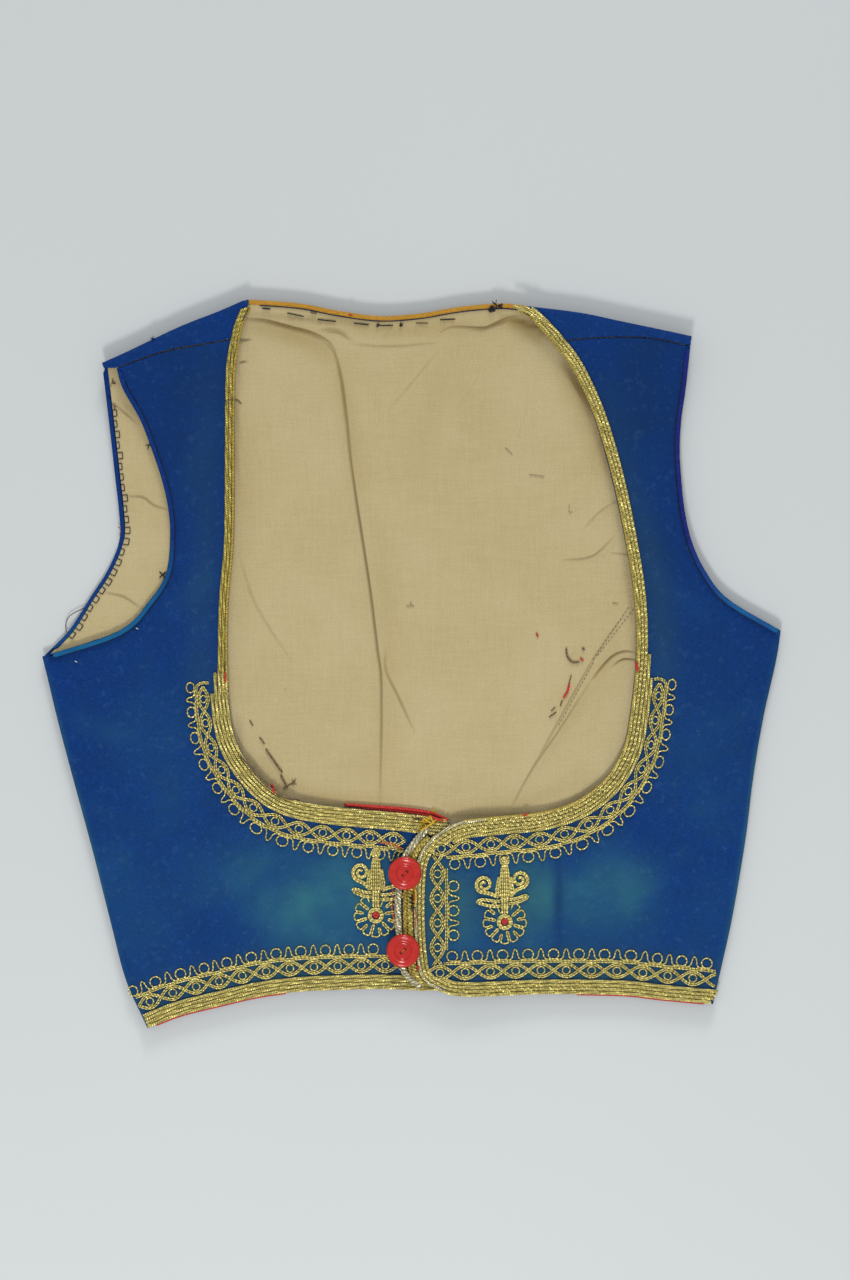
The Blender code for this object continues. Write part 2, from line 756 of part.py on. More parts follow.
def tube(name, points, radius, collection, finish):
    """A round cord through points in millimetres."""
    curve = bpy.data.curves.new(name, "CURVE")
    curve.dimensions = "3D"
    curve.bevel_depth = radius * MM
    curve.bevel_resolution = 2
    curve.use_fill_caps = True
    spline = curve.splines.new("POLY")
    spline.points.add(len(points) - 1)
    for target, point in zip(spline.points, points):
        target.co = (point[0] * MM, point[1] * MM, point[2] * MM, 1.0)
    curve.materials.append(finish)
    item = bpy.data.objects.new(name, curve)
    collection.objects.link(item)
    return item


def arc(centre, radius, first, last, count):
    """Points on a circle, angles in degrees."""
    made = []
    for i in range(count):
        angle = math.radians(first + (last - first) * i / max(count - 1, 1))
        made.append((centre[0] + radius * math.cos(angle), centre[1] + radius * math.sin(angle)))
    return made


def polar(radius, angle):
    return arc((0, 0), radius, angle, angle, 1)[0]


def ring_points(centre, radius, count, turn=0.0):
    return arc(centre, radius, turn, turn + 360 * (count - 1) / count, count)


def flat_shape(name, loops):
    """The flat area between an outline and the holes in it, as a mesh that looks down."""
    curve = bpy.data.curves.new(name, "CURVE")
    curve.dimensions = "2D"
    curve.fill_mode = "BOTH"
    for loop in loops:
        spline = curve.splines.new("POLY")
        spline.points.add(len(loop) - 1)
        for target, point in zip(spline.points, loop):
            target.co = (point[0] * MM, point[1] * MM, 0.0, 1.0)
        spline.use_cyclic_u = True
    item = bpy.data.objects.new(name, curve)
    bpy.context.scene.collection.objects.link(item)
    seen = bpy.context.evaluated_depsgraph_get()
    mesh = bpy.data.meshes.new_from_object(item.evaluated_get(seen))
    bpy.data.objects.remove(item, do_unlink=True)
    made = bmesh.new()
    made.from_mesh(mesh)
    bpy.data.meshes.remove(mesh)
    bmesh.ops.triangulate(made, faces=made.faces)
    bmesh.ops.beautify_fill(made, faces=made.faces, edges=made.edges)
    return made


def repeated(cells):
    """Flat shapes joined where their edges meet."""
    made = bmesh.new()
    for cell in cells:
        mesh = bpy.data.meshes.new("cell")
        cell.to_mesh(mesh)
        cell.free()
        made.from_mesh(mesh)
        bpy.data.meshes.remove(mesh)
    bmesh.ops.remove_doubles(made, verts=made.verts, dist=WELD * MM)
    return made


def lay(made, name, spot, height, collection, finish):
    """Lays a flat shape on the cloth. spot turns its own x, y into the plan's."""
    for vertex in made.verts:
        place = spot(vertex.co.x / MM, vertex.co.y / MM)
        vertex.co = Vector((place.x, place.y, height(place.x, place.y) + GAP)) * MM
    bmesh.ops.recalc_face_normals(made, faces=made.faces)
    face_sheet(made, up=False)
    return thicken(put(made, name, collection, finish), TRIM)


def half_ring(side):
    """Half a ring's outline, on its own x = 0 and towards this side, from top to foot."""
    foot = 90 - side * RING_FOOT
    outer = arc((0.0, RING_HEIGHT), RING_RADIUS, 90, foot, RING_OUTER_POINTS)
    inner = arc((0.0, RING_HEIGHT), RING_HOLE, -90, -90 + side * 180, RING_INNER_POINTS)
    return inner + outer


def border_cell(first, ring_before, ring_after):
    """One eye of a border, from crossing to crossing. Half a ring stands at each end,
    and a peak between two rings."""
    middle = PITCH / 2
    if ring_after:
        after = [(x + PITCH, y) for x, y in [(0.0, EYE_CROSSING)] + half_ring(-1)]
    else:
        after = [(middle + x, y) for x, y in BARE_END]
    if ring_before:
        before = [(0.0, EYE_CROSSING)] + half_ring(1)
    else:
        before = [(middle - x, y) for x, y in BARE_END]
    peak, under = [], []
    if ring_before and ring_after:
        peak = [(middle + x, y) for x, y in PEAK]
        under = [(middle + x, y) for x, y in EYE_UNDERSIDE]
    squeeze = 1.0 if under else BARE_HOLE
    hole = [(middle + x * squeeze, EYE_HEIGHT + y) for x, y in EYE_HOLE]
    cell = flat_shape("cell", [after + peak + before[::-1] + under, hole])
    bmesh.ops.translate(cell, verts=cell.verts, vec=(first * MM, 0, 0))
    return cell


def border_end(place, outward):
    """The outer half of the ring at a border's end, with the rail under it."""
    outline = [(0.0, EYE_CROSSING)] + half_ring(1)
    outline += [(EDGE_RUN, RAIL_TOP), (EDGE_RUN, EYE_CROSSING)]
    cell = flat_shape("cell", [[(x * outward, y) for x, y in outline]])
    bmesh.ops.translate(cell, verts=cell.verts, vec=(place * MM, 0, 0))
    return cell


def reach(curve, point):
    """How far along the curve the place nearest to this point lies."""
    point = Vector(point)
    best, run, found = None, 0.0, 0.0
    for a, b in zip(curve, curve[1:]):
        share = min(max((point - a).dot(b - a) / (b - a).length_squared, 0.0), 1.0)
        away = (a.lerp(b, share) - point).length
        if best is None or away < best:
            best, found = away, run + share * (b - a).length
        run += (b - a).length
    return found


def border(name, edge, offset, ends, count, bare, scales, height, collection, finish):
    """A couched border beside a braid. The edge is the cloth's own, offset is the
    braid's width, and ends are the points that the border runs between."""
    line = sideways(edge, offset + BAND_CLEAR)
    whole = length(line)
    first, last = reach(line, ends[0]) / whole, reach(line, ends[1]) / whole
    stretch = (last - first) / (count * PITCH)

    def spot(along, across):
        share = first + along * stretch
        low, high = at(line, share - SHARE_STEP), at(line, share + SHARE_STEP)
        run = (high - low).normalized()
        point = at(line, share)
        beyond = (share - min(max(share, 0.0), 1.0)) * whole
        across *= between(scales, along / (count * PITCH))
        return point + run * beyond + Vector((-run.y, run.x)) * across

    cells = [border_cell(PITCH * i, i >= bare[0], i < count - bare[1]) for i in range(count)]
    cells += [] if bare[0] else [border_end(0.0, -1)]
    cells += [] if bare[1] else [border_end(PITCH * count, 1)]
    made = repeated(cells)
    return lay(made, name, spot, height, collection, finish)


def motif(side, centre, top, height, collection, finish, red):
    """The hanging flower: a stem with two scrolls, a rosette and a red middle."""
    def spot(x, y):
        return Vector((centre[0] + x, centre[1] + y))

    half = SCROLL_HALF + arc(SCROLL_CENTRE, SCROLL_RADIUS, *SCROLL_ARC)
    half += [STEM_SHOULDER, (STEM_TOP_WIDTH, top)]
    outline = half + [(-x, y) for x, y in half[::-1]]
    across, up = SCROLL_CENTRE
    holes = [ring_points((x, up), SCROLL_HOLE, SCROLL_HOLE_SIDES) for x in (-across, across)]
    made = flat_shape("stem", [outline] + holes)
    lay(made, "motif_stem_" + side, spot, height, collection, finish)

    turn = (360 - STEM_ANGLE) / PETALS
    start = 90 + STEM_ANGLE / 2
    outline = arc((0, 0), CENTRE_RING, start - STEM_ANGLE, start, 3)
    holes = [ring_points((0, 0), CENTRE_HOLE, CENTRE_SIDES)]
    for i in range(PETALS):
        middle = start + turn * (i + 0.5)
        outline += [polar(away, middle + aside * turn) for away, aside in PETAL_OUTLINE]
        holes.append([polar(away, middle + aside * turn) for away, aside in PETAL_HOLE])
    made = flat_shape("rosette", [outline] + holes)
    lay(made, "motif_rosette_" + side, spot, height, collection, finish)

    made = flat_shape("centre", [ring_points((0, 0), CENTRE_HOLE - GAP, CENTRE_SIDES)])
    lay(made, "motif_centre_" + side, spot, height, collection, red)


def button(name, x, y, low, collection, finish):
    """A turned button with two eyelets, on its shank of thread."""
    profile = [(away * BUTTON_RADIUS, up * BUTTON_HEIGHT) for away, up in BUTTON_PROFILE]
    foot = low - BUTTON_BASE
    profile += [(SHANK_RADIUS, 0.0), (SHANK_RADIUS, foot), (0.0, foot)]
    made = bmesh.new()
    points = [made.verts.new(Vector((away, 0.0, up)) * MM) for away, up in profile]
    for a, b in zip(points, points[1:]):
        made.edges.new((a, b))
    item = put(made, name, collection, finish)
    item.location = Vector((x, y, BUTTON_BASE)) * MM
    screw = item.modifiers.new("turn", "SCREW")
    screw.steps = screw.render_steps = BUTTON_STEPS
    screw.use_merge_vertices = True
    screw.merge_threshold = WELD * MM
    screw.use_smooth_shade = True
    high = BUTTON_BASE + BUTTON_HEIGHT * BUTTON_MIDDLE
    for key, side in (("_a", -0.5), ("_b", 0.5)):
        hole = eyelet(name + "_eyelet" + key, (x + side * EYELET_SPACING, y, high))
        cut = item.modifiers.new("eyelet", "BOOLEAN")
        cut.operation = "DIFFERENCE"
        cut.solver = "EXACT"
        cut.object = hole
    return item


def eyelet(name, place):
    """A cutter for one of a button's holes."""
    made = bmesh.new()
    bmesh.ops.create_cone(made, cap_ends=True, segments=EYELET_SIDES,
                          radius1=EYELET_RADIUS * MM, radius2=EYELET_RADIUS * MM,
                          depth=EYELET_DEPTH * MM)
    mesh = bpy.data.meshes.new(name)
    made.to_mesh(mesh)
    made.free()
    hole = bpy.data.objects.new(name, mesh)
    hole.location = Vector(place) * MM
    hole.hide_render = True
    hole.display_type = "WIRE"
    bpy.data.collections["cutters"].objects.link(hole)
    return hole


def joined(plan, keys):
    """Curves of a front joined end to end."""
    made = []
    for key in keys:
        piece = smooth(plan[key])
        if made and (piece[0] - made[-1]).length > (piece[-1] - made[-1]).length:
            piece = piece[::-1]
        made += piece[1:] if made else piece
    return made


def braids(on_right, on_left, parts, gold):
    neck = smooth(RIGHT_FRONT["neck"])[::-1]
    start, end = neck[-1], Vector(BACK["neck"][0])
    neck += [start.lerp(end, share) for share in OVER_SHOULDER_RIGHT]
    braid("braid_neck_right", neck, on_right, NECK_WIDTHS_RIGHT, BRAID_RIBS, NECK_STEP,
          parts, gold)
    hem = part_of(smooth(RIGHT_FRONT["hem"]), BRAID_HEM_START, 1.0)
    braid("braid_hem_right", hem, on_right, HEM_WIDTHS, BRAID_RIBS, HEM_STEP, parts, gold)
    edge = joined(LEFT_FRONT, ["neck", "edge", "hem"])
    start, end = edge[0], Vector(BACK["neck"][-1])
    edge = [start.lerp(end, share) for share in OVER_SHOULDER_LEFT] + edge[:-EDGE_SPARE]
    braid("braid_left", edge, on_left, EDGE_WIDTHS_LEFT, BRAID_RIBS, EDGE_STEP, parts, gold)


def borders(on_right, on_left, parts, gold):
    lines = {
        "neck_right": smooth(RIGHT_FRONT["neck"])[::-1],
        "hem_right": smooth(RIGHT_FRONT["hem"]),
        "neck_left": smooth(LEFT_FRONT["neck"][:-1] + [NECK_RUN_OUT]),
        "front_left": smooth(FRONT_LINE),
        "hem_left": smooth([HEM_RUN_OUT] + LEFT_FRONT["hem"][-2::-1]),
    }
    for name, offset, first, last, count, bare, scales in BORDERS:
        height = on_right if name.endswith("right") else on_left
        border("border_" + name, lines[name], offset, (first, last), count, bare, scales,
               height, parts, gold)


def armhole_bindings(on_right, on_left, on_back, parts, blue):
    heights = {"front_right": on_right, "front_left": on_left}
    for name, points, backwards, first, last in ARMHOLES:
        line = smooth(points)[::-1] if backwards else smooth(points)
        braid("armhole_" + name, part_of(line, first, last), heights.get(name, on_back),
              BINDING_WIDTHS, 1, ARMHOLE_STEP, parts, blue)


def neck_binding(parts, ochre):
    """The cord along the back neck, inside the fold."""
    line = sideways(smooth(BACK["neck"]), GAP - FOLD + BINDING / 2)
    rise = LINING_BASE + COTTON / 2
    points = []
    for spot in part_of(line, *BINDING_SPAN):
        points.append((spot.x, spot.y, back_height(spot.x, spot.y - FOLD) + rise))
    tube("neck_binding", points, BINDING / 2, parts, ochre)


def piping(name, hem, parts, red):
    line = part_of(hem, *PIPING_SPAN)
    outside = sideways(line, -1.0)
    points = []
    for spot, beyond in zip(line, outside):
        share = PIPING_OUT if abs(spot.x) > PIPING_SHOWS else -PIPING_IN
        spot = spot + (beyond - spot) * share
        points.append((spot.x, spot.y, PIPING_Z))
    tube(name, points, PIPING_RADIUS, parts, red)


def loop(name, radius, offsets, parts, finish):
    """A cord that runs outside the lapping edge."""
    edge = smooth(LEFT_FRONT["edge"])
    points = []
    for i in range(LOOP_STEPS + 1):
        share = i / LOOP_STEPS
        outside = sideways(edge, -between(offsets, share))
        spot = outside[round(share * (len(outside) - 1))]
        points.append((spot.x, spot.y, LOOP_UNDERSIDE + radius))
    tube(name, points, radius, parts, finish)


def build():
    clear_scene()
    parts = new_collection("folk_waistcoat")
    new_collection("cutters")
    blue, cream, gold, ochre, red, plastic, silver = (material(*row) for row in FINISHES)

    back = back_panel(parts, blue)
    lining_panel(parts, cream)
    right = front_panel("front_right", RIGHT_FRONT, RIGHT_NECK_SHARE, RIGHT_NECK_LIFT, 1,
                        parts, blue)
    left = front_panel("front_left", LEFT_FRONT, LEFT_NECK_SHARE, LEFT_NECK_LIFT, -1,
                       parts, blue)
    on_right = surface_of(right, back)
    on_left = surface_of(left, back)
    on_back = surface_of(back)

    braids(on_right, on_left, parts, gold)
    borders(on_right, on_left, parts, gold)
    armhole_bindings(on_right, on_left, on_back, parts, blue)
    neck_binding(parts, ochre)
    piping("piping_hem_right", smooth(RIGHT_FRONT["hem"]), parts, red)
    piping("piping_hem_left", smooth(LEFT_FRONT["hem"])[::-1], parts, red)
    loop("loop_silver", SILVER_RADIUS, SILVER_OFFSETS, parts, silver)
    loop("loop_gold", GOLD_RADIUS, GOLD_OFFSETS, parts, gold)

    for side, x, y, top in MOTIFS:
        motif(side, (x, y), top, on_right if side == "right" else on_left, parts, gold, red)
    for name, x, y in BUTTONS:
        button(name, x, y, on_right(x, y) + GAP, parts, plastic)


build()
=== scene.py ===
# %% [markdown]
# A folk waistcoat, laid flat with its front up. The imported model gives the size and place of
# every piece. This lesson puts real cloth, cord and thread in the place of its plain solids,
# one kind of work at a time: first the cloth, then the braids and borders that a couching
# needle would lay on it, and last the small stitches that hold it together.

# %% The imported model
import math

import bmesh
import bpy
import numpy as np
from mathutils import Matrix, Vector
from mathutils.bvhtree import BVHTree


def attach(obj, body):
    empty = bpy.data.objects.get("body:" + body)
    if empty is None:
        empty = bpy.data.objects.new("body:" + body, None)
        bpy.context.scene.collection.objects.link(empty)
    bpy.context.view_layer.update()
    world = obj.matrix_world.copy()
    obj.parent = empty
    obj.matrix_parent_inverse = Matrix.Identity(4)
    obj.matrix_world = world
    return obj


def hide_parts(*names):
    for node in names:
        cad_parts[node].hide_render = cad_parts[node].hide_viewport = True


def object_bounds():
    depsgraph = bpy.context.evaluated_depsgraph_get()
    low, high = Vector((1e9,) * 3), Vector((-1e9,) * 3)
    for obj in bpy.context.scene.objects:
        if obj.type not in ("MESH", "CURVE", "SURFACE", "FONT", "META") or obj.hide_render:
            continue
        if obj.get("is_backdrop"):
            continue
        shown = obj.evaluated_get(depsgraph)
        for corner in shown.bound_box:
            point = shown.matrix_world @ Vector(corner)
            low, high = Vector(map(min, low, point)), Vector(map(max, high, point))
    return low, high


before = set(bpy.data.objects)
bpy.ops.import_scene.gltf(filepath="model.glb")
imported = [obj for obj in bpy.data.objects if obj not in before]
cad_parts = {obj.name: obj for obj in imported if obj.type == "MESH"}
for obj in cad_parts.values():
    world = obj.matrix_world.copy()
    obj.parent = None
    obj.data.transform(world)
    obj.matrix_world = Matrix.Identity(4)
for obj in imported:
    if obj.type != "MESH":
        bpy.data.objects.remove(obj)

CAD_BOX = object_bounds()
MM = 0.001


def short(values, places=4):
    """Numbers rounded for a print."""
    return tuple(round(value, places) for value in values)


print("nodes:", len(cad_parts), "box:", [short(corner) for corner in CAD_BOX])

# %% [markdown]
# The garment lies on a table and is seen from straight above through a long lens, so
# nothing leans. One big soft lamp stands on the hem's side and lays a soft shadow along the
# top edge. A second one, far off on the neck's side, does the same under the hem, and a pale
# sky fills the rest.

# %% Camera, floor and light
VIEW_CENTRE = (8.1, 14.4)
VIEW_HEIGHT = 768.0
CAMERA_HEIGHT = 2000.0
FLOOR_SIZE = 3.0
FLOOR_DROP = 0.25
SKY_COLOUR, SKY_STRENGTH = (0.95, 0.975, 1.0, 1.0), 0.65
LAMP_COLOUR = (1.0, 0.985, 0.96)

# Columns: name, place, size, energy.
LAMPS = [("window", (-0.15, -1.4, 1.4), 0.35, 19.0), ("far_window", (0.3, 3.4, 1.5), 0.9, 60.0)]


def linked(item):
    """Puts a new object in the scene."""
    bpy.context.scene.collection.objects.link(item)
    return item


def as_object(made, name):
    """A bmesh as a new object in the scene."""
    mesh = bpy.data.meshes.new(name)
    made.to_mesh(mesh)
    made.free()
    return linked(bpy.data.objects.new(name, mesh))


camera_data = bpy.data.cameras.new("camera")
camera_data.lens = camera_data.sensor_width * CAMERA_HEIGHT / VIEW_HEIGHT
camera = linked(bpy.data.objects.new("camera", camera_data))
camera.location = Vector((*VIEW_CENTRE, CAMERA_HEIGHT)) * MM
bpy.context.scene.camera = camera
bpy.context.scene.view_settings.view_transform = "Standard"

for name, place, size, energy in LAMPS:
    lamp_data = bpy.data.lights.new(name, "AREA")
    lamp_data.shape = "SQUARE"
    lamp_data.size = size
    lamp_data.energy = energy
    lamp_data.color = LAMP_COLOUR
    lamp = linked(bpy.data.objects.new(name, lamp_data))
    lamp.location = place
    lamp.rotation_mode = "QUATERNION"
    lamp.rotation_quaternion = (-Vector(place)).to_track_quat("-Z", "Y")

world = bpy.data.worlds.new("sky")
world.use_nodes = True
sky = world.node_tree.nodes["Background"].inputs
sky["Color"].default_value, sky["Strength"].default_value = SKY_COLOUR, SKY_STRENGTH
bpy.context.scene.world = world
print("camera", short(camera.location), "lens", round(camera_data.lens, 2))

# %% [markdown]
# Every finish here is built from a few patterns: a nap of fibres that lie every way, a weave, the
# twist of yarns wound round each other, and slow blotches of wear. Each is a node group, made
# once and placed by each material with its own values. A small helper adds a node and joins
# its inputs, so that a recipe reads from top to bottom.

# %% Node helpers
def node(tree, kind, joins=None, **settings):
    """Adds a node. joins has its inputs by name or number: a socket is linked, the rest set."""
    made = tree.nodes.new("ShaderNode" + kind)
    for key, value in settings.items():
        setattr(made, key, value)
    for key, value in (joins or {}).items():
        if isinstance(value, bpy.types.NodeSocket):
            tree.links.new(value, made.inputs[key])
        else:
            made.inputs[key].default_value = value
    return made


def result(tree, kind, joins, **settings):
    """The first output of a new node."""
    return node(tree, kind, joins, **settings).outputs[0]


def sums(tree, operation, first, second=0.5, third=0.5):
    """One step of arithmetic, as a socket."""
    return result(tree, "Math", {0: first, 1: second, 2: third}, operation=operation)


def spread(tree, value, low, high, start=0.0, end=1.0):
    """The value moved from one range to another, and held inside it."""
    joins = {"Value": value, "From Min": low, "From Max": high, "To Min": start, "To Max": end}
    return result(tree, "MapRange", joins)


def noise(tree, vector, size, detail=3.0, rough=0.55):
    """Cloudy values round 0.5, with clouds of this size in metres."""
    joins = {"Vector": vector, "Scale": 1 / size, "Detail": detail, "Roughness": rough}
    return result(tree, "TexNoise", joins)


def opaque(colour):
    """A colour of three numbers as four. A socket stays as it is."""
    return (*colour, 1.0) if isinstance(colour, tuple) else colour


def blend(tree, share, first, second):
    """The second colour over the first, by share."""
    joins = {"Factor": share, 6: opaque(first), 7: opaque(second)}
    return node(tree, "Mix", joins, data_type="RGBA").outputs[2]


def scaled(tree, vector, factor):
    """A vector made longer or shorter by a factor."""
    return result(tree, "VectorMath", {0: vector, 3: factor}, operation="SCALE")


def new_group(name, values, results):
    """A node group with a place, some values and some results, and its two end nodes."""
    tree = bpy.data.node_groups.new(name, "ShaderNodeTree")
    tree.interface.new_socket("Place", in_out="INPUT", socket_type="NodeSocketVector")
    for way, labels in (("INPUT", values), ("OUTPUT", results)):
        for label in labels:
            tree.interface.new_socket(label, in_out=way, socket_type="NodeSocketFloat")
    start = tree.nodes.new("NodeGroupInput").outputs
    end = tree.nodes.new("NodeGroupOutput").inputs
    return tree, start, end


def placed(tree, group, place, **values):
    """A group used in a material, as its outputs."""
    joins = {key.capitalize(): value for key, value in values.items()}
    return node(tree, "Group", {"Place": place, **joins}, node_tree=group).outputs


print("helpers:", [helper.__name__ for helper in (node, sums, spread, noise, blend, placed)])

# %% [markdown]
# Wool cloth that has been fulled shows no threads, only short fibres. Two noises do it: one
# stretched into hairs, one round. Cotton shows its plain weave as crossing ribs. A cord's
# twist runs on its own UV map, where u goes round the cord and v along it in metres, so
# the plies climb round every bend. Its glints are small cells that are bright or dull by
# chance.

# %% Patterns of fibre and thread
def in_grains(tree, start, label):
    """The group's place, counted in grains of the size that one of its inputs gives."""
    return scaled(tree, start["Place"], sums(tree, "DIVIDE", 1.0, start[label]))


def nap_group():
    tree, start, end = new_group("nap", ["Fibre"], ["Height", "Shade"])
    place = in_grains(tree, start, "Fibre")
    hairs = result(tree, "Mapping", {"Vector": place, "Rotation": (0, 0, 0.5),
                                     "Scale": (1.0, 0.25, 1.0)})
    across = result(tree, "TexNoise", {"Vector": hairs, "Scale": 1.0, "Detail": 4.0})
    fuzz = result(tree, "TexNoise", {"Vector": place, "Scale": 0.6, "Detail": 5.0})
    tree.links.new(sums(tree, "MULTIPLY_ADD", across, 0.6, fuzz), end["Height"])
    tree.links.new(spread(tree, fuzz, 0.3, 0.7), end["Shade"])
    return tree


def weave_group():
    tree, start, end = new_group("weave", ["Thread"], ["Height", "Shade"])
    wobble = node(tree, "TexNoise", {"Vector": start["Place"], "Scale": 220.0, "Detail": 2.0})
    moved = scaled(tree, wobble.outputs[1], 0.0005)
    place = result(tree, "VectorMath", {0: start["Place"], 1: moved}, operation="ADD")
    split = node(tree, "SeparateXYZ", {0: place}).outputs
    rate = sums(tree, "DIVIDE", math.pi, start["Thread"])
    warp, weft = (sums(tree, "SINE", sums(tree, "MULTIPLY", way, rate)) for way in split[:2])
    tree.links.new(sums(tree, "MULTIPLY", warp, weft), end["Height"])
    slubs = []
    for scale in ((1.0, 0.08, 1.0), (0.08, 1.0, 1.0)):
        drawn = result(tree, "Mapping", {"Vector": start["Place"], "Scale": scale})
        slubs.append(noise(tree, drawn, 0.0012))
    half = sums(tree, "MULTIPLY", slubs[1], 0.5)
    tree.links.new(sums(tree, "MULTIPLY_ADD", slubs[0], 0.5, half), end["Shade"])
    return tree


def twist_group():
    tree, start, end = new_group("twist", ["Plies", "Pitch"], ["Height", "Groove"])
    split = node(tree, "SeparateXYZ", {0: start["Place"]}).outputs
    climb = sums(tree, "DIVIDE", split[1], start["Pitch"])
    turn = sums(tree, "MULTIPLY_ADD", split[0], start["Plies"], climb)
    round_ply = sums(tree, "ABSOLUTE", sums(tree, "SINE", sums(tree, "MULTIPLY", turn, math.pi)))
    tree.links.new(round_ply, end["Height"])
    tree.links.new(spread(tree, round_ply, 0.0, 0.55, 1.0, 0.0), end["Groove"])
    return tree


def spark_group():
    tree, start, end = new_group("spark", ["Grain"], ["Spark"])
    grains = result(tree, "VectorMath", {0: in_grains(tree, start, "Grain")}, operation="FLOOR")
    tree.links.new(result(tree, "TexWhiteNoise", {"Vector": grains}), end["Spark"])
    return tree


def wear_group():
    tree, start, end = new_group("wear", ["Patch"], ["Mask", "Speck"])
    place = in_grains(tree, start, "Patch")
    slow = result(tree, "TexNoise", {"Vector": place, "Scale": 1.0, "Detail": 4.0,
                                     "Distortion": 0.3})
    fine = result(tree, "TexNoise", {"Vector": place, "Scale": 9.0, "Detail": 3.0})
    tree.links.new(spread(tree, slow, 0.42, 0.66), end["Mask"])
    tree.links.new(spread(tree, fine, 0.58, 0.7), end["Speck"])
    return tree


NAP, WEAVE, TWIST = nap_group(), weave_group(), twist_group()
SPARK, WEAR = spark_group(), wear_group()
print("patterns:", [group.name for group in (NAP, WEAVE, TWIST, SPARK, WEAR)])

# %% [markdown]
# The materials come next, and they share three helpers. One makes a material with its plain values
# set, one adds a bump, and one reads a mask painted on the cloth's own points. Old wool is greener
# where its dye has faded, some places are painted darker, and such masks say where.

# %% Helpers for a material
def new_material(name, rough, metal=0.0, sheen=0.0, tint=(1.0, 1.0, 1.0), gloss=0.5):
    """A material, its tree and its shader's inputs, with the plain values set."""
    made = bpy.data.materials.new(name)
    made.use_nodes = True
    sockets = made.node_tree.nodes["Principled BSDF"].inputs
    values = {"Roughness": rough, "Metallic": metal, "Sheen Weight": sheen,
              "Sheen Roughness": 0.6, "Sheen Tint": opaque(tint), "Specular IOR Level": gloss}
    for key, value in values.items():
        sockets[key].default_value = value
    return made, made.node_tree, sockets


def bumped(tree, sockets, height, distance, strength):
    """Joins a height to the shader as small bumps."""
    joins = {"Height": height, "Distance": distance, "Strength": strength}
    tree.links.new(result(tree, "Bump", joins), sockets["Normal"])


def painted(tree, layer):
    """A mask painted on the points, and 0 on a piece that has none."""
    return node(tree, "Attribute", attribute_name=layer).outputs["Fac"]


print(len(bpy.data.node_groups), "patterns wait for their materials")

# %% [markdown]
# The wool shows its one dye in four shades: the deep and the lit side of the fibres, the
# colour where it has faded, and the dusk of its dark places. A green stain from the metal
# cords and pale lint go over them.

# %% Wool
FIBRE, MOTTLE = 0.0007, 0.014
GREEN_STAIN, LINT = (0.026, 0.078, 0.082), (0.1, 0.2, 0.34)


def wool_material(name, deep, lit, faded, dusk):
    made, tree, sockets = new_material(name, 0.95, sheen=0.04, tint=(0.2, 0.45, 1.0), gloss=0.1)
    place = node(tree, "TexCoord").outputs["Object"]
    nap = placed(tree, NAP, place, fibre=FIBRE)
    wear = placed(tree, WEAR, place, patch=0.035)
    base = blend(tree, nap["Shade"], deep, lit)
    mottled = spread(tree, noise(tree, place, MOTTLE, 6.0, 0.7), 0.35, 0.65, 0.0, 0.4)
    base = blend(tree, mottled, base, dusk)
    uneven = sums(tree, "MULTIPLY_ADD", wear["Mask"], 0.5, 0.5)
    for layer, colour in (("dusk", dusk), ("fade", faded)):
        base = blend(tree, sums(tree, "MULTIPLY", painted(tree, layer), uneven), base, colour)
    base = blend(tree, painted(tree, "stain"), base, GREEN_STAIN)
    lint = sums(tree, "MULTIPLY", wear["Speck"], 0.07)
    tree.links.new(blend(tree, lint, base, LINT), sockets["Base Color"])
    bumped(tree, sockets, nap["Height"], 0.0006, 0.8)
    return made


BLUE = wool_material("blue_wool_cloth", (0.0015, 0.0235, 0.124), (0.005, 0.039, 0.2),
                     (0.033, 0.155, 0.178), (0.0045, 0.026, 0.098))
EDGE_BLUE = wool_material("blue_wool_edge", (0.0016, 0.02, 0.12), (0.006, 0.04, 0.22),
                          (0.012, 0.17, 0.33), (0.0045, 0.026, 0.098))
PURPLE = wool_material("violet_wool_edge", (0.006, 0.012, 0.12), (0.016, 0.026, 0.22),
                       (0.01, 0.16, 0.36), (0.008, 0.02, 0.09))
print("wool:", [wool.name for wool in (BLUE, EDGE_BLUE, PURPLE)])

# %% [markdown]
# Unbleached cotton is cream where its threads lie close and browner where they are thin. It has
# washed out in patches, it holds small flecks of husk, and it has a few brown stains. Shade is
# painted into its colour too: dark, with a little dirt, along its creases and beside the braids,
# and soft beside its folds.

# %% Cotton
COTTON_DEEP, COTTON_LIT = (0.385, 0.306, 0.15), (0.52, 0.428, 0.23)
WASHED, HUSK = (0.51, 0.432, 0.257), (0.2, 0.14, 0.08)
# Colours of the painted shade in the creases, with a little dirt, and of the stains and the soft
# painted shade.
SHADE_AND_SOIL_COLOUR, STAIN_AND_SHADE_COLOUR = (0.125, 0.078, 0.026), (0.3, 0.205, 0.06)


def cotton_material():
    made, tree, sockets = new_material("cream_cotton_cloth", 0.92, sheen=0.03, gloss=0.2)
    place = node(tree, "TexCoord").outputs["Object"]
    weave = placed(tree, WEAVE, place, thread=0.0007)
    wear = placed(tree, WEAR, place, patch=0.05)
    base = blend(tree, weave["Shade"], COTTON_DEEP, COTTON_LIT)
    base = blend(tree, sums(tree, "MULTIPLY", wear["Mask"], 0.35), base, WASHED)
    fleck = spread(tree, noise(tree, place, 0.0009, 2.0, 0.7), 0.7, 0.78, 0.0, 0.25)
    base = blend(tree, fleck, base, HUSK)
    # Painted shade, with a little dirt, along the creases and beside the braids.
    base = blend(tree, painted(tree, "crease"), base, SHADE_AND_SOIL_COLOUR)
    # Brown stains, and soft painted shade beside the folds and the braids.
    base = blend(tree, painted(tree, "fade"), base, STAIN_AND_SHADE_COLOUR)
    tree.links.new(base, sockets["Base Color"])
    bumped(tree, sockets, weave["Height"], 0.00012, 0.7)
    return made


COTTON = cotton_material()
print("cotton:", COTTON.name)
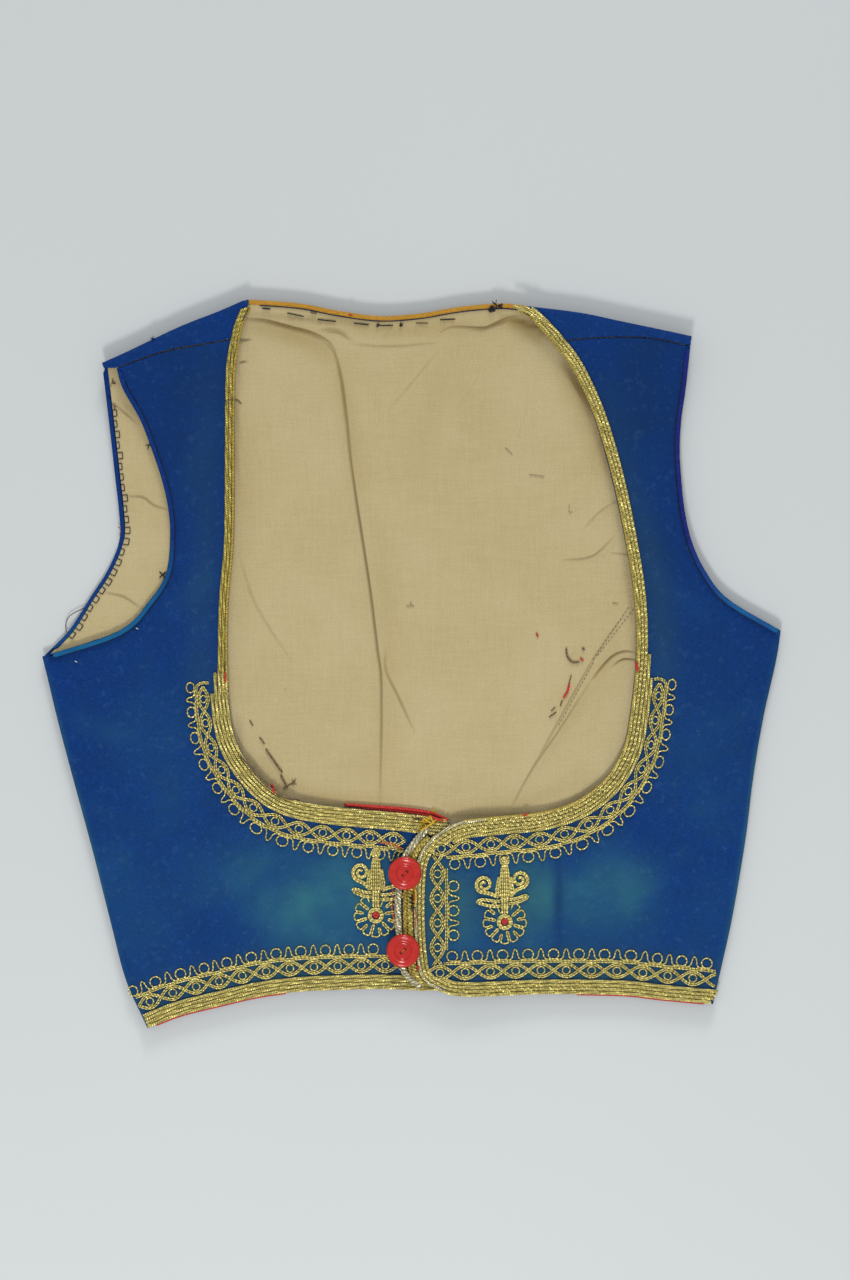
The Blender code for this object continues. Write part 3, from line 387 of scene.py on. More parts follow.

# %% [markdown]
# Every thread and cord is one recipe with its own colours: bright on the plies and dull where it
# has worn, with a dark colour painted into the grooves as their shade. Metal thread is foil wound
# on a core, so it is only part metal, and its glints change from ply to ply.

# %% Threads
DULL_SHARE, GROOVE_SHADE, GLINT_GRAIN, GLINT_ROUGH = 0.7, 0.7, 0.0008, 0.12


def thread_material(name, bright, dark, rough, metal=0.0, plies=2.0, pitch=0.0022, spark=0.95):
    made, tree, sockets = new_material(name, rough, metal)
    ways = node(tree, "TexCoord").outputs
    twist = placed(tree, TWIST, ways["UV"], plies=plies, pitch=pitch)
    glint = placed(tree, SPARK, ways["Object"], grain=GLINT_GRAIN)["Spark"]
    worn = noise(tree, ways["Object"], 0.006)
    dull = tuple(0.3 * a + DULL_SHARE * b for a, b in zip(bright, dark))
    base = blend(tree, sums(tree, "MULTIPLY", glint, spark), dull, bright)
    base = blend(tree, spread(tree, worn, 0.5, 0.75, 0.0, 0.6), base, dull)
    # Painted shade: the dark colour laid into the grooves between the plies.
    base = blend(tree, sums(tree, "MULTIPLY", twist["Groove"], GROOVE_SHADE), base, dark)
    tree.links.new(base, sockets["Base Color"])
    roughness = spread(tree, glint, 0.0, 1.0, rough + GLINT_ROUGH, rough - GLINT_ROUGH)
    tree.links.new(roughness, sockets["Roughness"])
    bumped(tree, sockets, twist["Height"], 0.00025, 0.9)
    return made


# Columns: name, bright colour, dark colour (its worn tone and the painted shade in its grooves),
# roughness, share of metal.
GOLD, DULL_GOLD, PALE_GOLD, OLIVE, RED, ORANGE, YELLOW, BROWN, FAINT, BLACK, NAVY, WHITE = (
    thread_material(*row) for row in (
        ("gold_metal_thread", (0.93, 0.8, 0.27), (0.11, 0.085, 0.012), 0.4, 0.6),
        ("worn_gold_thread", (0.74, 0.6, 0.14), (0.11, 0.085, 0.012), 0.45, 0.5),
        ("pale_worn_thread", (0.9, 0.84, 0.5), (0.15, 0.13, 0.06), 0.4, 0.6),
        ("olive_core_thread", (0.54, 0.4, 0.06), (0.15, 0.1, 0.012), 0.65, 0.1),
        ("red_wool_thread", (0.62, 0.03, 0.018), (0.3, 0.012, 0.01), 0.8),
        ("orange_silk_thread", (0.6, 0.13, 0.02), (0.3, 0.05, 0.01), 0.6),
        ("yellow_silk_thread", (0.75, 0.5, 0.02), (0.4, 0.24, 0.01), 0.6),
        ("brown_linen_thread", (0.2, 0.12, 0.06), (0.06, 0.036, 0.02), 0.85),
        ("faint_linen_thread", (0.5, 0.4, 0.22), (0.36, 0.28, 0.15), 0.9),
        ("black_linen_thread", (0.012, 0.012, 0.016), (0.005, 0.005, 0.006), 0.85),
        ("navy_wool_thread", (0.004, 0.012, 0.06), (0.002, 0.006, 0.03), 0.9),
        ("white_linen_lint", (0.6, 0.64, 0.58), (0.3, 0.34, 0.3), 0.9),
    ))
SILVER = thread_material("silver_metal_thread", (0.82, 0.76, 0.5), (0.05, 0.042, 0.018), 0.42, 0.6,
                         plies=3.0, pitch=0.004)
OCHRE = thread_material("ochre_silk_band", (0.6, 0.31, 0.008), (0.34, 0.15, 0.004), 0.75,
                        plies=14.0, pitch=0.02, spark=0.6)
print("materials so far:", len(bpy.data.materials))

# %% [markdown]
# The buttons are pressed plastic, with a clear coat and a faint cloud in the colour. The
# board under the garment is plain and pale, so that it throws soft light back.

# %% Plastic and board
def plastic_material():
    made, tree, sockets = new_material("red_plastic_gloss", 0.22, gloss=0.3)
    place = node(tree, "TexCoord").outputs["Object"]
    cloud = spread(tree, noise(tree, place, 0.004), 0.35, 0.7)
    base = blend(tree, cloud, (0.4, 0.01, 0.006), (0.5, 0.018, 0.01))
    tree.links.new(base, sockets["Base Color"])
    tree.links.new(spread(tree, noise(tree, place, 0.0008), 0.3, 0.8, 0.16, 0.32),
                   sockets["Roughness"])
    sockets["Coat Weight"].default_value = 0.25
    sockets["Coat Roughness"].default_value = 0.12
    return made


def floor_material():
    made, tree, sockets = new_material("pale_board", 0.85)
    cloud = noise(tree, node(tree, "TexCoord").outputs["Object"], 0.4, 2.0)
    base = blend(tree, cloud, (0.525, 0.55, 0.556), (0.545, 0.571, 0.577))
    tree.links.new(base, sockets["Base Color"])
    return made


PLASTIC, BOARD = plastic_material(), floor_material()
floor_mesh = bmesh.new()
bmesh.ops.create_grid(floor_mesh, x_segments=1, y_segments=1, size=FLOOR_SIZE / 2)
bmesh.ops.translate(floor_mesh, verts=floor_mesh.verts, vec=(0, 0, -FLOOR_DROP * MM))
floor = as_object(floor_mesh, "floor")
floor.data.materials.append(BOARD)
floor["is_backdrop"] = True
print("materials:", len(bpy.data.materials))

# %% [markdown]
# A pattern cutter draws each panel from a few measured points and a smooth curve. Line does the
# same: it passes a curve through the points and reads it by share of its length.

# %% Curves in plan
def unit(ways):
    """Each way at length 1."""
    return ways / np.linalg.norm(ways, axis=-1, keepdims=True)


class Line:
    """A curve through points in millimetres, read by shares of its length. bend is the
    number of chords between two points: 1 keeps the runs straight."""

    def __init__(self, points, bend=12):
        rows = np.array([tuple(point) for point in points], float)
        rows = np.vstack([2 * rows[0] - rows[1], rows, 2 * rows[-1] - rows[-2]])
        t = (np.arange(bend) / bend)[:, None]
        made = []
        for a, b, c, d in zip(rows, rows[1:], rows[2:], rows[3:]):
            made.append(0.5 * (2 * b + (c - a) * t + (2 * a - 5 * b + 4 * c - d) * t ** 2
                               + (3 * b - a - 3 * c + d) * t ** 3))
        self.points = np.vstack(made + [rows[-2:-1]])
        steps = np.linalg.norm(np.diff(self.points, axis=0), axis=1)
        self.runs = np.concatenate([[0.0], np.cumsum(steps)])
        self.length = self.runs[-1]

    def at(self, share):
        run = np.asarray(share, float) * self.length
        return np.stack([np.interp(run, self.runs, axis) for axis in self.points.T], axis=-1)

    def left(self, share, reach=0.003):
        """The way to the curve's left at these shares."""
        run = self.at(np.minimum(np.asarray(share) + reach, 1.0))
        run = unit(run - self.at(np.maximum(np.asarray(share) - reach, 0.0)))
        return np.stack([-run[..., 1], run[..., 0]], axis=-1)

    def beside(self, offset):
        """The curve moved to its left."""
        share = self.runs / self.length
        return Line(self.at(share) + offset * self.left(share), bend=1)

    def back(self):
        return Line(self.points[::-1], bend=1)

    def part(self, first, last, step=1.0):
        """Points along a stretch of it, about a step apart."""
        count = max(2, round(abs(last - first) * self.length / step) + 1)
        return self.at(np.linspace(first, last, count))

    def near(self, point):
        """The share at which it passes nearest to the point."""
        shares = np.linspace(0.0, 1.0, 2000)
        away = np.linalg.norm(self.at(shares) - np.array(point, float), axis=1)
        return shares[int(np.argmin(away))]


def chained(*lines):
    """Lines joined end to end, each turned the way that meets the last."""
    points = lines[0].points
    for line in lines[1:]:
        more = line.points
        if np.linalg.norm(more[0] - points[-1]) > np.linalg.norm(more[-1] - points[-1]):
            more = more[::-1]
        points = np.vstack([points, more[1:]])
    return Line(points, bend=1)


print("a curve through three corners is", round(Line([(0, 0), (3, 4), (6, 0)]).length, 1), "long")

# %% [markdown]
# The plan of the panels, in millimetres, with +Y towards the neck and +X towards the wearer's
# left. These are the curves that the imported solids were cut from. Only the lapping front's
# neck is drawn a millimetre higher by the closure, and the other front runs on a little under it.

# %% Plan of the panels
NECK_LEFT = [(84.5, 192), (95, 178.5), (105, 159), (112.5, 139), (120.5, 110.5), (128, 74.5),
             (133.5, 38.5), (134.5, 2.5), (130.5, -33.5), (126, -52), (115, -69.5)]
HEM_RIGHT = [(-158, -218), (-139, -210.5), (-115, -204.5), (-91, -199), (-67, -196),
             (-43, -195), (-19, -194.5)]
HEM_LEFT = [(10, -192), (29, -198.5), (77, -197.5), (125, -198), (149, -200.5), (180.5, -203.5)]

RIGHT = {
    "neck": Line([(-102.5, 194.5), (-105.5, 173), (-106, 128), (-106.5, 74), (-109.5, 38),
                  (-110, 0), (-108, -33), (-102, -52), (-88.5, -70), (-73, -80), (-49, -85),
                  (-7, -89), (23, -93.2)]),
    "shoulder": Line([(-102.5, 194.5), (-126, 190.5), (-148.5, 186), (-176, 176.5)]),
    "armhole": Line([(-176, 176.5), (-172.5, 164.5), (-162.5, 146.5), (-155.5, 128.5),
                     (-149.5, 110.5), (-145.5, 92.5), (-144.5, 74.5), (-147, 54),
                     (-156.5, 38.5), (-175, 20), (-221, 4.5)]),
    "side": Line([(-221, 4.5), (-212, -33.5), (-202.5, -69.5), (-191.5, -110),
                  (-180.5, -153.5), (-171, -189.5), (-158, -218)]),
    "hem": Line(HEM_RIGHT + [(17, -195.5)]),
    "edge": Line([(23, -93.2), (20, -112), (17, -143), (17, -195.5)]),
}
LEFT = {
    "neck": Line(NECK_LEFT + [(98, -82.2), (77, -88.7), (53, -91), (28, -94.2), (12.5, -103)]),
    "shoulder": Line([(84.5, 192), (110, 194.5), (140, 194.5), (166.5, 189.5)]),
    "armhole": Line([(166.5, 189.5), (164, 164.5), (161.5, 146.5), (160.5, 128.5),
                     (161.5, 110.5), (163.5, 92.5), (167.5, 74.5), (175.5, 56.5), (189.5, 39),
                     (221, 20)]),
    "side": Line([(221, 20), (218.5, 2.5), (210.5, -33.5), (204.5, -69.5), (200, -105.5),
                  (192.5, -150), (186, -180), (180.5, -203.5)]),
    "hem": Line(HEM_LEFT[::-1]),
    "edge": Line([(12.5, -103), (5, -113), (2, -126.5), (1.5, -155), (4, -182.5), (10, -192)]),
}
FOLD_RIGHT = Line([(-185, 180), (-169.5, 187), (-139, 201.5), (-115, 211), (-99, 218)])
BACK_NECK = Line([(-99, 218), (-67, 215.5), (-43, 211), (-19, 208), (5, 209.5), (29, 213.5),
                  (53, 215.5), (69, 214)])
FOLD_LEFT = Line([(69, 214), (101, 210), (125, 205), (149, 200), (167.5, 196)])
BACK_HOLE_RIGHT = Line([(-220, 5), (-205, 20.5), (-193.5, 38.5), (-182, 56.5), (-175, 74.5),
                        (-175.5, 92.5), (-177.5, 110.5), (-181.5, 146.5), (-185, 178)])
BACK_HOLE_LEFT = Line([(221, 19), (188, 37), (174, 56), (165.5, 74.5), (161.5, 92.5),
                       (159.5, 110.5), (158.5, 128.5), (162, 164.5), (167.5, 194)])
BACK_HEM = Line(HEM_RIGHT + HEM_LEFT)
print("neck braids run", round(RIGHT["neck"].length), "and", round(LEFT["neck"].length), "mm")

# %% [markdown]
# Cloth that lies flat is never quite flat. It stands up where it folds over the shoulders, it is
# thicker where one front laps over the other, and it puffs along a seam. These heights are the
# imported solids' own. Two kinds of fold go on top of them, each along a drawn line: a soft ridge,
# and a pressed crease, which falls away gently on one side and steeply on the other.

# %% Heights of the cloth
GAP = 0.3
WOOL, LINEN = 1.5, 1.0
LINING_BASE = WOOL + GAP
FRONT_TOP = 5.0
TOP_REACH, BACK_RISE, FRONT_RISE, FOLD = 60.0, 5.0, 7.0, 3.5
LAP_RISE, LAP_FULL, LAP_END = 3.2, 24.0, 90.0
SEAM_BACK, SEAM_GAP, SEAM_LIFT = 2.9, 0.8, 0.4
SEAM_FRONT = SEAM_BACK + GAP
# Width of the painted shade along a crease, and how far it lies towards the steep side.
SHADE_REACH, SHADE_ASIDE = 0.7, 0.6
TOP_LINE = chained(FOLD_RIGHT, BACK_NECK, FOLD_LEFT).points
FAR_AWAY = 1e9


def near_top(x, y):
    """1 along the top edge, and less and less below it."""
    below = np.interp(x, TOP_LINE[:, 0], TOP_LINE[:, 1]) - y
    return np.maximum(0.0, 1.0 - np.maximum(0.0, below) / TOP_REACH) ** 2


def eased(share):
    """0 to 1 with soft ends."""
    share = np.clip(share, 0.0, 1.0)
    return share * share * (3 - 2 * share)


def back_height(x, y):
    return BACK_RISE * near_top(x, y)


def front_height(x, y, lapped=False):
    lap = LAP_RISE * eased((LAP_END - x) / (LAP_END - LAP_FULL)) if lapped else 0.0
    return FRONT_TOP + FRONT_RISE * near_top(x, y) + lap


def off_line(x, y, points):
    """How far to the left of a line each place lies, and a factor that dies out at its ends."""
    line = Line(points, bend=4)
    shares = line.runs / line.length
    best = np.full_like(x, FAR_AWAY)
    along, hand = np.zeros_like(x), np.ones_like(x)
    for a, b, low, top in zip(line.points, line.points[1:], shares, shares[1:]):
        run = b - a
        part = np.clip(((x - a[0]) * run[0] + (y - a[1]) * run[1]) / (run @ run), 0.0, 1.0)
        aside_x, aside_y = x - a[0] - part * run[0], y - a[1] - part * run[1]
        away = np.hypot(aside_x, aside_y)
        nearer = away < best
        best = np.where(nearer, away, best)
        along = np.where(nearer, low + part * (top - low), along)
        hand = np.where(nearer, np.sign(run[0] * aside_y - run[1] * aside_x), hand)
    return best * hand, np.sin(math.pi * np.clip(along, 0.02, 0.98)) ** 0.5


def ridges(x, y, table):
    """Soft folds. Each row has a height, a half-width and the fold's line."""
    high = np.zeros_like(x)
    for height, width, *points in table:
        away, ends = off_line(x, y, points)
        high = np.maximum(high, height * ends * np.exp(-(away / width) ** 2))
    return high


def creases(x, y, table):
    """Pressed creases: their height, and the shade painted along their steep side, with a little
    dirt. Each row has a height, the reach to the left, the reach to the right, the strength of that
    painted shade and the crease's line."""
    high, shade_and_soil = np.zeros_like(x), np.zeros_like(x)
    for height, left, right, dark, *points in table:
        away, ends = off_line(x, y, points)
        reach = np.where(away > 0, left, right)
        high = np.maximum(high, height * ends * np.exp(-(away / reach) ** 2))
        aside = (away + SHADE_ASIDE * right) / SHADE_REACH
        shade_and_soil = np.maximum(shade_and_soil, dark * ends * np.exp(-aside ** 2))
    return high, shade_and_soil


print("lining lies at", LINING_BASE, "fronts at", FRONT_TOP, "mm")

# %% [markdown]
# A panel is a sheet stretched between its four edges. That is a Coons patch: every point is a
# blend of the edges, so the grid runs with the outline and the cloth can bend along it. The grid
# starts as create_grid, and its points are then moved to their places. Solidify gives it
# the wall, and a small Bevel rounds the cut edge as a turned edge would be.

# %% Sheets from four edges
TURNED_EDGE, SHARP_ANGLE = 0.3, math.radians(50)


def table_read(table, x):
    """Values between the rows of a table of two columns."""
    columns = np.array(table)
    return np.interp(x, columns[:, 0], columns[:, 1])


def spanned(spans, share):
    """Reads a chain of lines, each over its own span of shares."""
    share = np.asarray(share, float)
    made = np.zeros(share.shape + (2,))
    for low, high, line in spans:
        here = (share >= low) & (share <= high)
        made[here] = line.at((share[here] - low) / (high - low))
    return made


def patch(inner, outer, start, end, u, v):
    """Points between four edges: inner and outer are read at v, start and end at u."""
    u, w = u[..., None], v[..., None]
    corner = (1 - u) * (1 - w) * inner(0.0) + u * (1 - w) * outer(0.0)
    corner = corner + (1 - u) * w * inner(1.0) + u * w * outer(1.0)
    sides = (1 - u) * inner(v) + u * outer(v) + (1 - w) * start(u[..., 0]) + w * end(u[..., 0])
    return sides - corner


def grid_mesh(places, keep=None):
    """A bmesh grid whose point [row, column] lies where places says, in millimetres. keep
    says which of its cells stay."""
    rows, columns = places.shape[0] - 1, places.shape[1] - 1
    made = bmesh.new()
    layer = made.loops.layers.uv.new("UVMap")
    bmesh.ops.create_grid(made, x_segments=columns, y_segments=rows, size=0.5)
    for face in made.faces:
        for corner in face.loops:
            corner[layer].uv = corner.vert.co.xy + Vector((0.5, 0.5))
    if keep is not None:
        spare = []
        for face in made.faces:
            middle = face.calc_center_median()
            if not keep[int((middle.y + 0.5) * rows), int((middle.x + 0.5) * columns)]:
                spare.append(face)
        bmesh.ops.delete(made, geom=spare, context="FACES")
    places = places * MM
    for vertex in made.verts:
        column = round((vertex.co.x + 0.5) * columns)
        vertex.co = places[round((vertex.co.y + 0.5) * rows), column]
    return made


print("each panel will be one grid")

# %% [markdown]
# Each piece rides on the garment, so it moves when the garment does. Its fading, its stains and the
# shade painted into its colour are kept on its own points, as shares from 0 to 1 that the materials
# read.

# %% Cloth on the garment
def put(made, name, *finishes):
    """The bmesh as an object that rides on the garment."""
    item = as_object(made, name)
    item.data.shade_smooth()
    for finish in finishes:
        item.data.materials.append(finish)
    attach(item, "root")
    return item


def paint(item, **layers):
    """Writes masks on the points of a piece: where it is faded or stained, where it is darker, and
    where shade is painted into its colour.
    """
    for name, shares in layers.items():
        layer = item.data.attributes.new(name, "FLOAT", "POINT")
        layer.data.foreach_set("value", np.asarray(shares, np.float32))


def points_of(item):
    """The points of a piece, in millimetres."""
    flat = np.empty(len(item.data.vertices) * 3)
    item.data.vertices.foreach_get("co", flat)
    return flat.reshape(-1, 3) / MM


def cloth(name, made, wall, up, finish):
    """A sheet of cloth with its wall behind the bmesh's outer face."""
    made.normal_update()
    if (sum(face.normal.z * face.calc_area() for face in made.faces) > 0) != up:
        bmesh.ops.reverse_faces(made, faces=made.faces)
    area = sum(face.calc_area() for face in made.faces)
    item = put(made, name, finish)
    solidify = item.modifiers.new("wall", "SOLIDIFY")
    solidify.thickness = wall * MM
    solidify.offset = -1.0
    bevel = item.modifiers.new("turned edge", "BEVEL")
    bevel.width = TURNED_EDGE * wall * MM
    bevel.segments = 2
    bevel.limit_method = "ANGLE"
    bevel.angle_limit = SHARP_ANGLE
    return item, area


def spots(x, y, table):
    """Soft patches. Columns: centre x, y, reach in x, y, strength."""
    made = np.zeros_like(x)
    for cx, cy, rx, ry, strength in table:
        away = ((x - cx) / rx) ** 2 + ((y - cy) / ry) ** 2
        made = np.maximum(made, strength * np.exp(-away))
    return made


print("a wall of wool takes", WOOL, "mm, one of linen", LINEN, "mm")

# %% [markdown]
# The two fronts. Their outer edge rolls down into the side seam, and the neck's edge lifts a
# little off the lining, as a braided edge does when it is stiffer than the cloth. Shares run
# along the neck's edge from the shoulder down, and along the outer edge past armhole, side
# and hem.

# %% Folds and wear of the fronts
RIGHT_SHARES = [(0.0, 0.0), (0.40, 0.49), (0.66, 0.69), (1.0, 1.0)]
LEFT_SHARES = [(0.0, 0.0), (0.40, 0.40), (0.66, 0.62), (1.0, 1.0)]
RIGHT_LIFTS = [(0.0, 0.4), (0.3, 0.8), (0.6, 2.0), (0.8, 1.2), (1.0, 0.0)]
LEFT_LIFTS = [(0.0, 0.4), (0.2, 2.6), (0.45, 1.8), (0.65, 2.2), (0.85, 1.0), (1.0, 0.0)]

# Folds of the fronts. Columns: height, half-width, then the fold's line.
RIGHT_FOLDS = [
    (0.9, 7, (-112, 150), (-128, 128), (-137, 100)),
    (0.8, 8, (-118, 60), (-132, 42), (-150, 30)),
    (0.9, 9, (-205, -30), (-178, -42), (-150, -46)),
    (0.8, 8, (-196, -80), (-168, -96), (-140, -104)),
    (0.7, 9, (-182, -150), (-150, -150), (-120, -158)),
    (0.6, 8, (-120, -120), (-96, -128), (-70, -126)),
    (0.8, 5, (-158, -124), (-134, -120), (-106, -110)),
]
LEFT_FOLDS = [
    (0.9, 7, (120, 168), (134, 140), (146, 116)),
    (0.8, 8, (142, 60), (158, 42), (180, 26)),
    (0.9, 9, (214, -20), (186, -36), (158, -40)),
    (0.8, 8, (204, -70), (176, -86), (150, -96)),
    (0.7, 9, (192, -140), (160, -146), (130, -152)),
    (0.6, 8, (120, -118), (98, -128), (80, -140)),
    (0.7, 5, (176, -112), (152, -120), (132, -124)),
]

# Where the dye has faded. Columns: centre x, y, reach in x, y, strength.
RIGHT_FADES = [(-46, -142, 48, 32, 1.0), (-100, -126, 46, 24, 0.4), (-150, -60, 34, 60, 0.14),
               (-170, -150, 40, 50, 0.22)]
LEFT_FADES = [(68, -142, 32, 32, 0.9), (114, -140, 34, 28, 0.7), (30, -146, 18, 28, 0.75),
              (170, -60, 34, 70, 0.14), (168, -150, 30, 40, 0.12)]

# Where the wool is painted darker, with the same columns.
RIGHT_DUSKS = [(-130, 150, 34, 60, 0.8), (-165, 60, 30, 40, 0.3)]
LEFT_DUSKS = [(140, 150, 30, 60, 1.0), (146, 70, 22, 50, 0.7), (190, -10, 40, 40, 0.3),
              (88, -142, 3.5, 30, 0.8)]
# Where the metal cords have stained it green. Columns: strength, half-width, line.
RIGHT_STAINS = [(0.7, 11, (-180, -210), (-139, -196), (-91, -185), (-43, -180.5), (14, -181)),
                (0.2, 10, (-122, 190), (-123, 74), (-125, 0), (-112, -60), (-80, -95), (-7, -106))]
LEFT_STAINS = [(0.7, 11, (0, -184), (77, -183), (125, -184), (149, -186), (200, -190)),
               (0.75, 8, (14, -96), (14, -150), (14, -196)), (0.35, 18, (28, -118), (29, -165)),
               (0.3, 16, (68, -116), (70, -165)),
               (0.3, 10, (8, -112), (53, -108), (90, -102), (130, -72), (150, 0), (140, 74),
                (112, 160))]

print(len(RIGHT_FOLDS) + len(LEFT_FOLDS), "folds and", len(RIGHT_FADES) + len(LEFT_FADES), "fades")

# %% [markdown]
# A front's grid is even across the chest and narrow near the outer edge, where the cloth turns
# down in a quarter circle to meet the back. A rolled edge keeps its width, so its points are
# measured straight in from the edge.

# %% The fronts
ROLL, ROLL_STEPS = 3.0, 6
SIDE_PUFF, SIDE_PUFF_REACH, SIDE_PUFF_FADE = 1.0, 0.12, 0.06
SIDE_SPAN = (0.40, 0.66)
SIDE_EDGE = [(0.0, 0.0), (0.05, 1.0), (0.95, 1.0), (1.0, 0.0)]
NECK_LIFT_REACH = 0.35
CALM_ACROSS, CALM_ALONG = 0.06, 0.03
ROWS_ARMHOLE, ROWS_SIDE, ROWS_HEM, COLUMNS = 90, 76, 80, 56
EDGE_LOOK = 0.012
FOLD_WEAR, EDGE_WEAR, EDGE_WEAR_REACH, EDGE_STEP = 0.18, 0.55, 2.2, 30


def rolled_edge(turn, rolled):
    """How far in from the edge, and how far down, the points of a rolled edge lie. rolled
    says how much of a roll it is, row by row."""
    angle = turn * math.pi / 2
    aside = turn + ((1 - np.cos(angle)) - turn) * rolled[:, None]
    return aside, (1 - np.sin(angle)) * rolled[:, None]


def front_grid(plan, shares, hand):
    """The plan points of one front, their shares across and along, and how far each has
    turned down at the side."""
    first, last = SIDE_SPAN
    spans = [(0.0, first, plan["armhole"]), (first, last, plan["side"]), (last, 1.0, plan["hem"])]

    def inner(v):
        return plan["neck"].at(table_read(shares, v))

    def outer(v):
        return spanned(spans, v)

    rows = np.concatenate([np.linspace(0, first, ROWS_ARMHOLE)[:-1],
                           np.linspace(first, last, ROWS_SIDE)[:-1],
                           np.linspace(last, 1, ROWS_HEM)])
    turn = np.linspace(1.0, 0.0, ROLL_STEPS + 1)[1:]
    flat = np.linspace(0.0, 1.0, COLUMNS)
    reach = ROLL / np.linalg.norm(outer(rows) - inner(rows), axis=1)[:, None]
    u = np.hstack([flat[None, :] * (1 - reach), 1 - reach * turn[None, :]])
    v = np.broadcast_to(rows[:, None], u.shape)
    places = patch(inner, outer, plan["shoulder"].at, plan["edge"].at, u, v)

    rolled = table_read(SIDE_EDGE, (rows - first) / (last - first))
    rolled = rolled * ((rows > first) & (rows < last))
    from_edge, down = rolled_edge(turn, rolled)
    before, after = np.maximum(rows - EDGE_LOOK, 0.0), np.minimum(rows + EDGE_LOOK, 1.0)
    ahead = unit(outer(after) - outer(before))
    inward = np.stack([-ahead[:, 1], ahead[:, 0]], axis=1) * hand
    edge = outer(rows)[:, None, :] + inward[:, None, :] * (ROLL * from_edge)[..., None]
    places[1:-1, COLUMNS:] = edge[1:-1]
    drop = np.zeros(u.shape)
    drop[:, COLUMNS:] = down
    return places, u, v, drop


def front_rise(places, u, v, lifts, folds, hand):
    """The height of one front at each of its points, before its side turns down."""
    first, last = SIDE_SPAN
    x, y = places[..., 0], places[..., 1]
    near_neck = np.maximum(0.0, 1 - u / NECK_LIFT_REACH)
    high = front_height(x, y, hand < 0) + table_read(lifts, v) * near_neck ** 2
    near_side = np.maximum(0.0, 1 - (1 - u) / SIDE_PUFF_REACH)
    high = high + SIDE_PUFF * near_side * eased(np.minimum(v - first, last - v) / SIDE_PUFF_FADE)
    calm = eased(np.minimum(u, 1 - u) / CALM_ACROSS) * eased(np.minimum(v, 1 - v) / CALM_ALONG)
    return high + ridges(x, y, folds) * calm


def front(name, plan, shares, lifts, hand, folds, fades, dusks, stains):
    """One front. hand is 1 on the wearer's right and -1 on the left, which laps over."""
    places, u, v, drop = front_grid(plan, shares, hand)
    high = front_rise(places, u, v, lifts, folds, hand)
    high = high + (SEAM_FRONT - high) * drop
    item, area = cloth(name + "_cloth", grid_mesh(np.dstack([places, high])), WOOL, True, BLUE)
    x, y, _ = points_of(item).T
    dark = spots(x, y, dusks)
    worn = np.maximum(spots(x, y, fades), FOLD_WEAR * ridges(x, y, folds)) * (1 - dark)
    side = plan["side"].part(0, 1, EDGE_STEP)
    worn = np.maximum(worn, ridges(x, y, [(EDGE_WEAR, EDGE_WEAR_REACH, *side)]))
    paint(item, fade=worn, dusk=dark, stain=ridges(x, y, stains))
    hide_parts(name)
    return item, area


FRONT_RIGHT, RIGHT_AREA = front("front_right", RIGHT, RIGHT_SHARES, RIGHT_LIFTS, 1,
                                RIGHT_FOLDS, RIGHT_FADES, RIGHT_DUSKS, RIGHT_STAINS)
FRONT_LEFT, LEFT_AREA = front("front_left", LEFT, LEFT_SHARES, LEFT_LIFTS, -1,
                              LEFT_FOLDS, LEFT_FADES, LEFT_DUSKS, LEFT_STAINS)
print("front areas", round(RIGHT_AREA, 4), round(LEFT_AREA, 4), "m2")

# %% [markdown]
# The back is one panel that folds over at the shoulders and meets the fronts in a seam there,
# and at the sides it rolls up to meet them. Seen from above only its inside shows, in the
# armholes, but it is the whole underside, and it lies flat where it rests.

# %% The back's edges
NECK_SPAN = (0.25, 0.72)
UNDERARM = 0.52
FOLD_ANGLES = np.linspace(-60, 90, 8)
FOLD_SHARES = np.linspace(0, 1, 5)[1:]
BACK_FADES = [(0, -60, 120, 90, 0.4), (60, 120, 60, 50, 0.3)]

# How far the edge turns up along the side. Columns: share of the side, share of the turn.
SIDE_TURN = [(0, 0), (0.05, 0.4), (0.12, 1), (0.88, 1), (0.95, 0.4), (1.0, 0)]

# The grid's cells up the side, up the armhole and across. Columns: up to this share, cells.
SIDE_CELLS = [(0.05, 4), (0.12, 5), (0.88, 40), (0.95, 5), (1.0, 4)]
HOLE_CELLS = [(UNDERARM, 1), (1.0, 50)]
ACROSS_CELLS = [(NECK_SPAN[0], 22), (NECK_SPAN[1], 40), (1.0, 24)]


def shares_between(rows):
    """Shares from 0 to 1, evenly spaced within each span of (end, count)."""
    made, start = [0.0], 0.0
    for end, count in rows:
        made += list(np.linspace(start, end, count + 1)[1:])
        start = end
    return np.array(made)


BACK_TOP = [(0.0, NECK_SPAN[0], FOLD_RIGHT), (NECK_SPAN[0], NECK_SPAN[1], BACK_NECK),
            (NECK_SPAN[1], 1.0, FOLD_LEFT)]
BACK_TOP_INSET = [(low, high, line.beside(-FOLD)) for low, high, line in BACK_TOP]
RIGHT_SIDE = [(0.0, UNDERARM, RIGHT["side"].back()), (UNDERARM, 1.0, BACK_HOLE_RIGHT)]
LEFT_SIDE = [(0.0, UNDERARM, LEFT["side"].back()), (UNDERARM, 1.0, BACK_HOLE_LEFT)]


def back_side(side, corner, v):
    """One side's edge, with its top end at the corner of the fold."""
    v = np.asarray(v, float)
    return np.where((v < 1)[..., None], spanned(side, v), spanned(BACK_TOP_INSET, corner))


def back_right(v):
    return back_side(RIGHT_SIDE, 0.0, v)


def back_left(v):
    return back_side(LEFT_SIDE, 1.0, v)


def back_patch(u, v):
    return patch(back_right, back_left, BACK_HEM.at, lambda s: spanned(BACK_TOP_INSET, s), u, v)


print("the back is", round(BACK_HEM.length), "mm along its hem")

# %% [markdown]
# The body of the back comes first. Its last row lies under the shoulder fold, and the two tabs
# go on from there: round the fold and down to the seam. Between them the neck stays open.

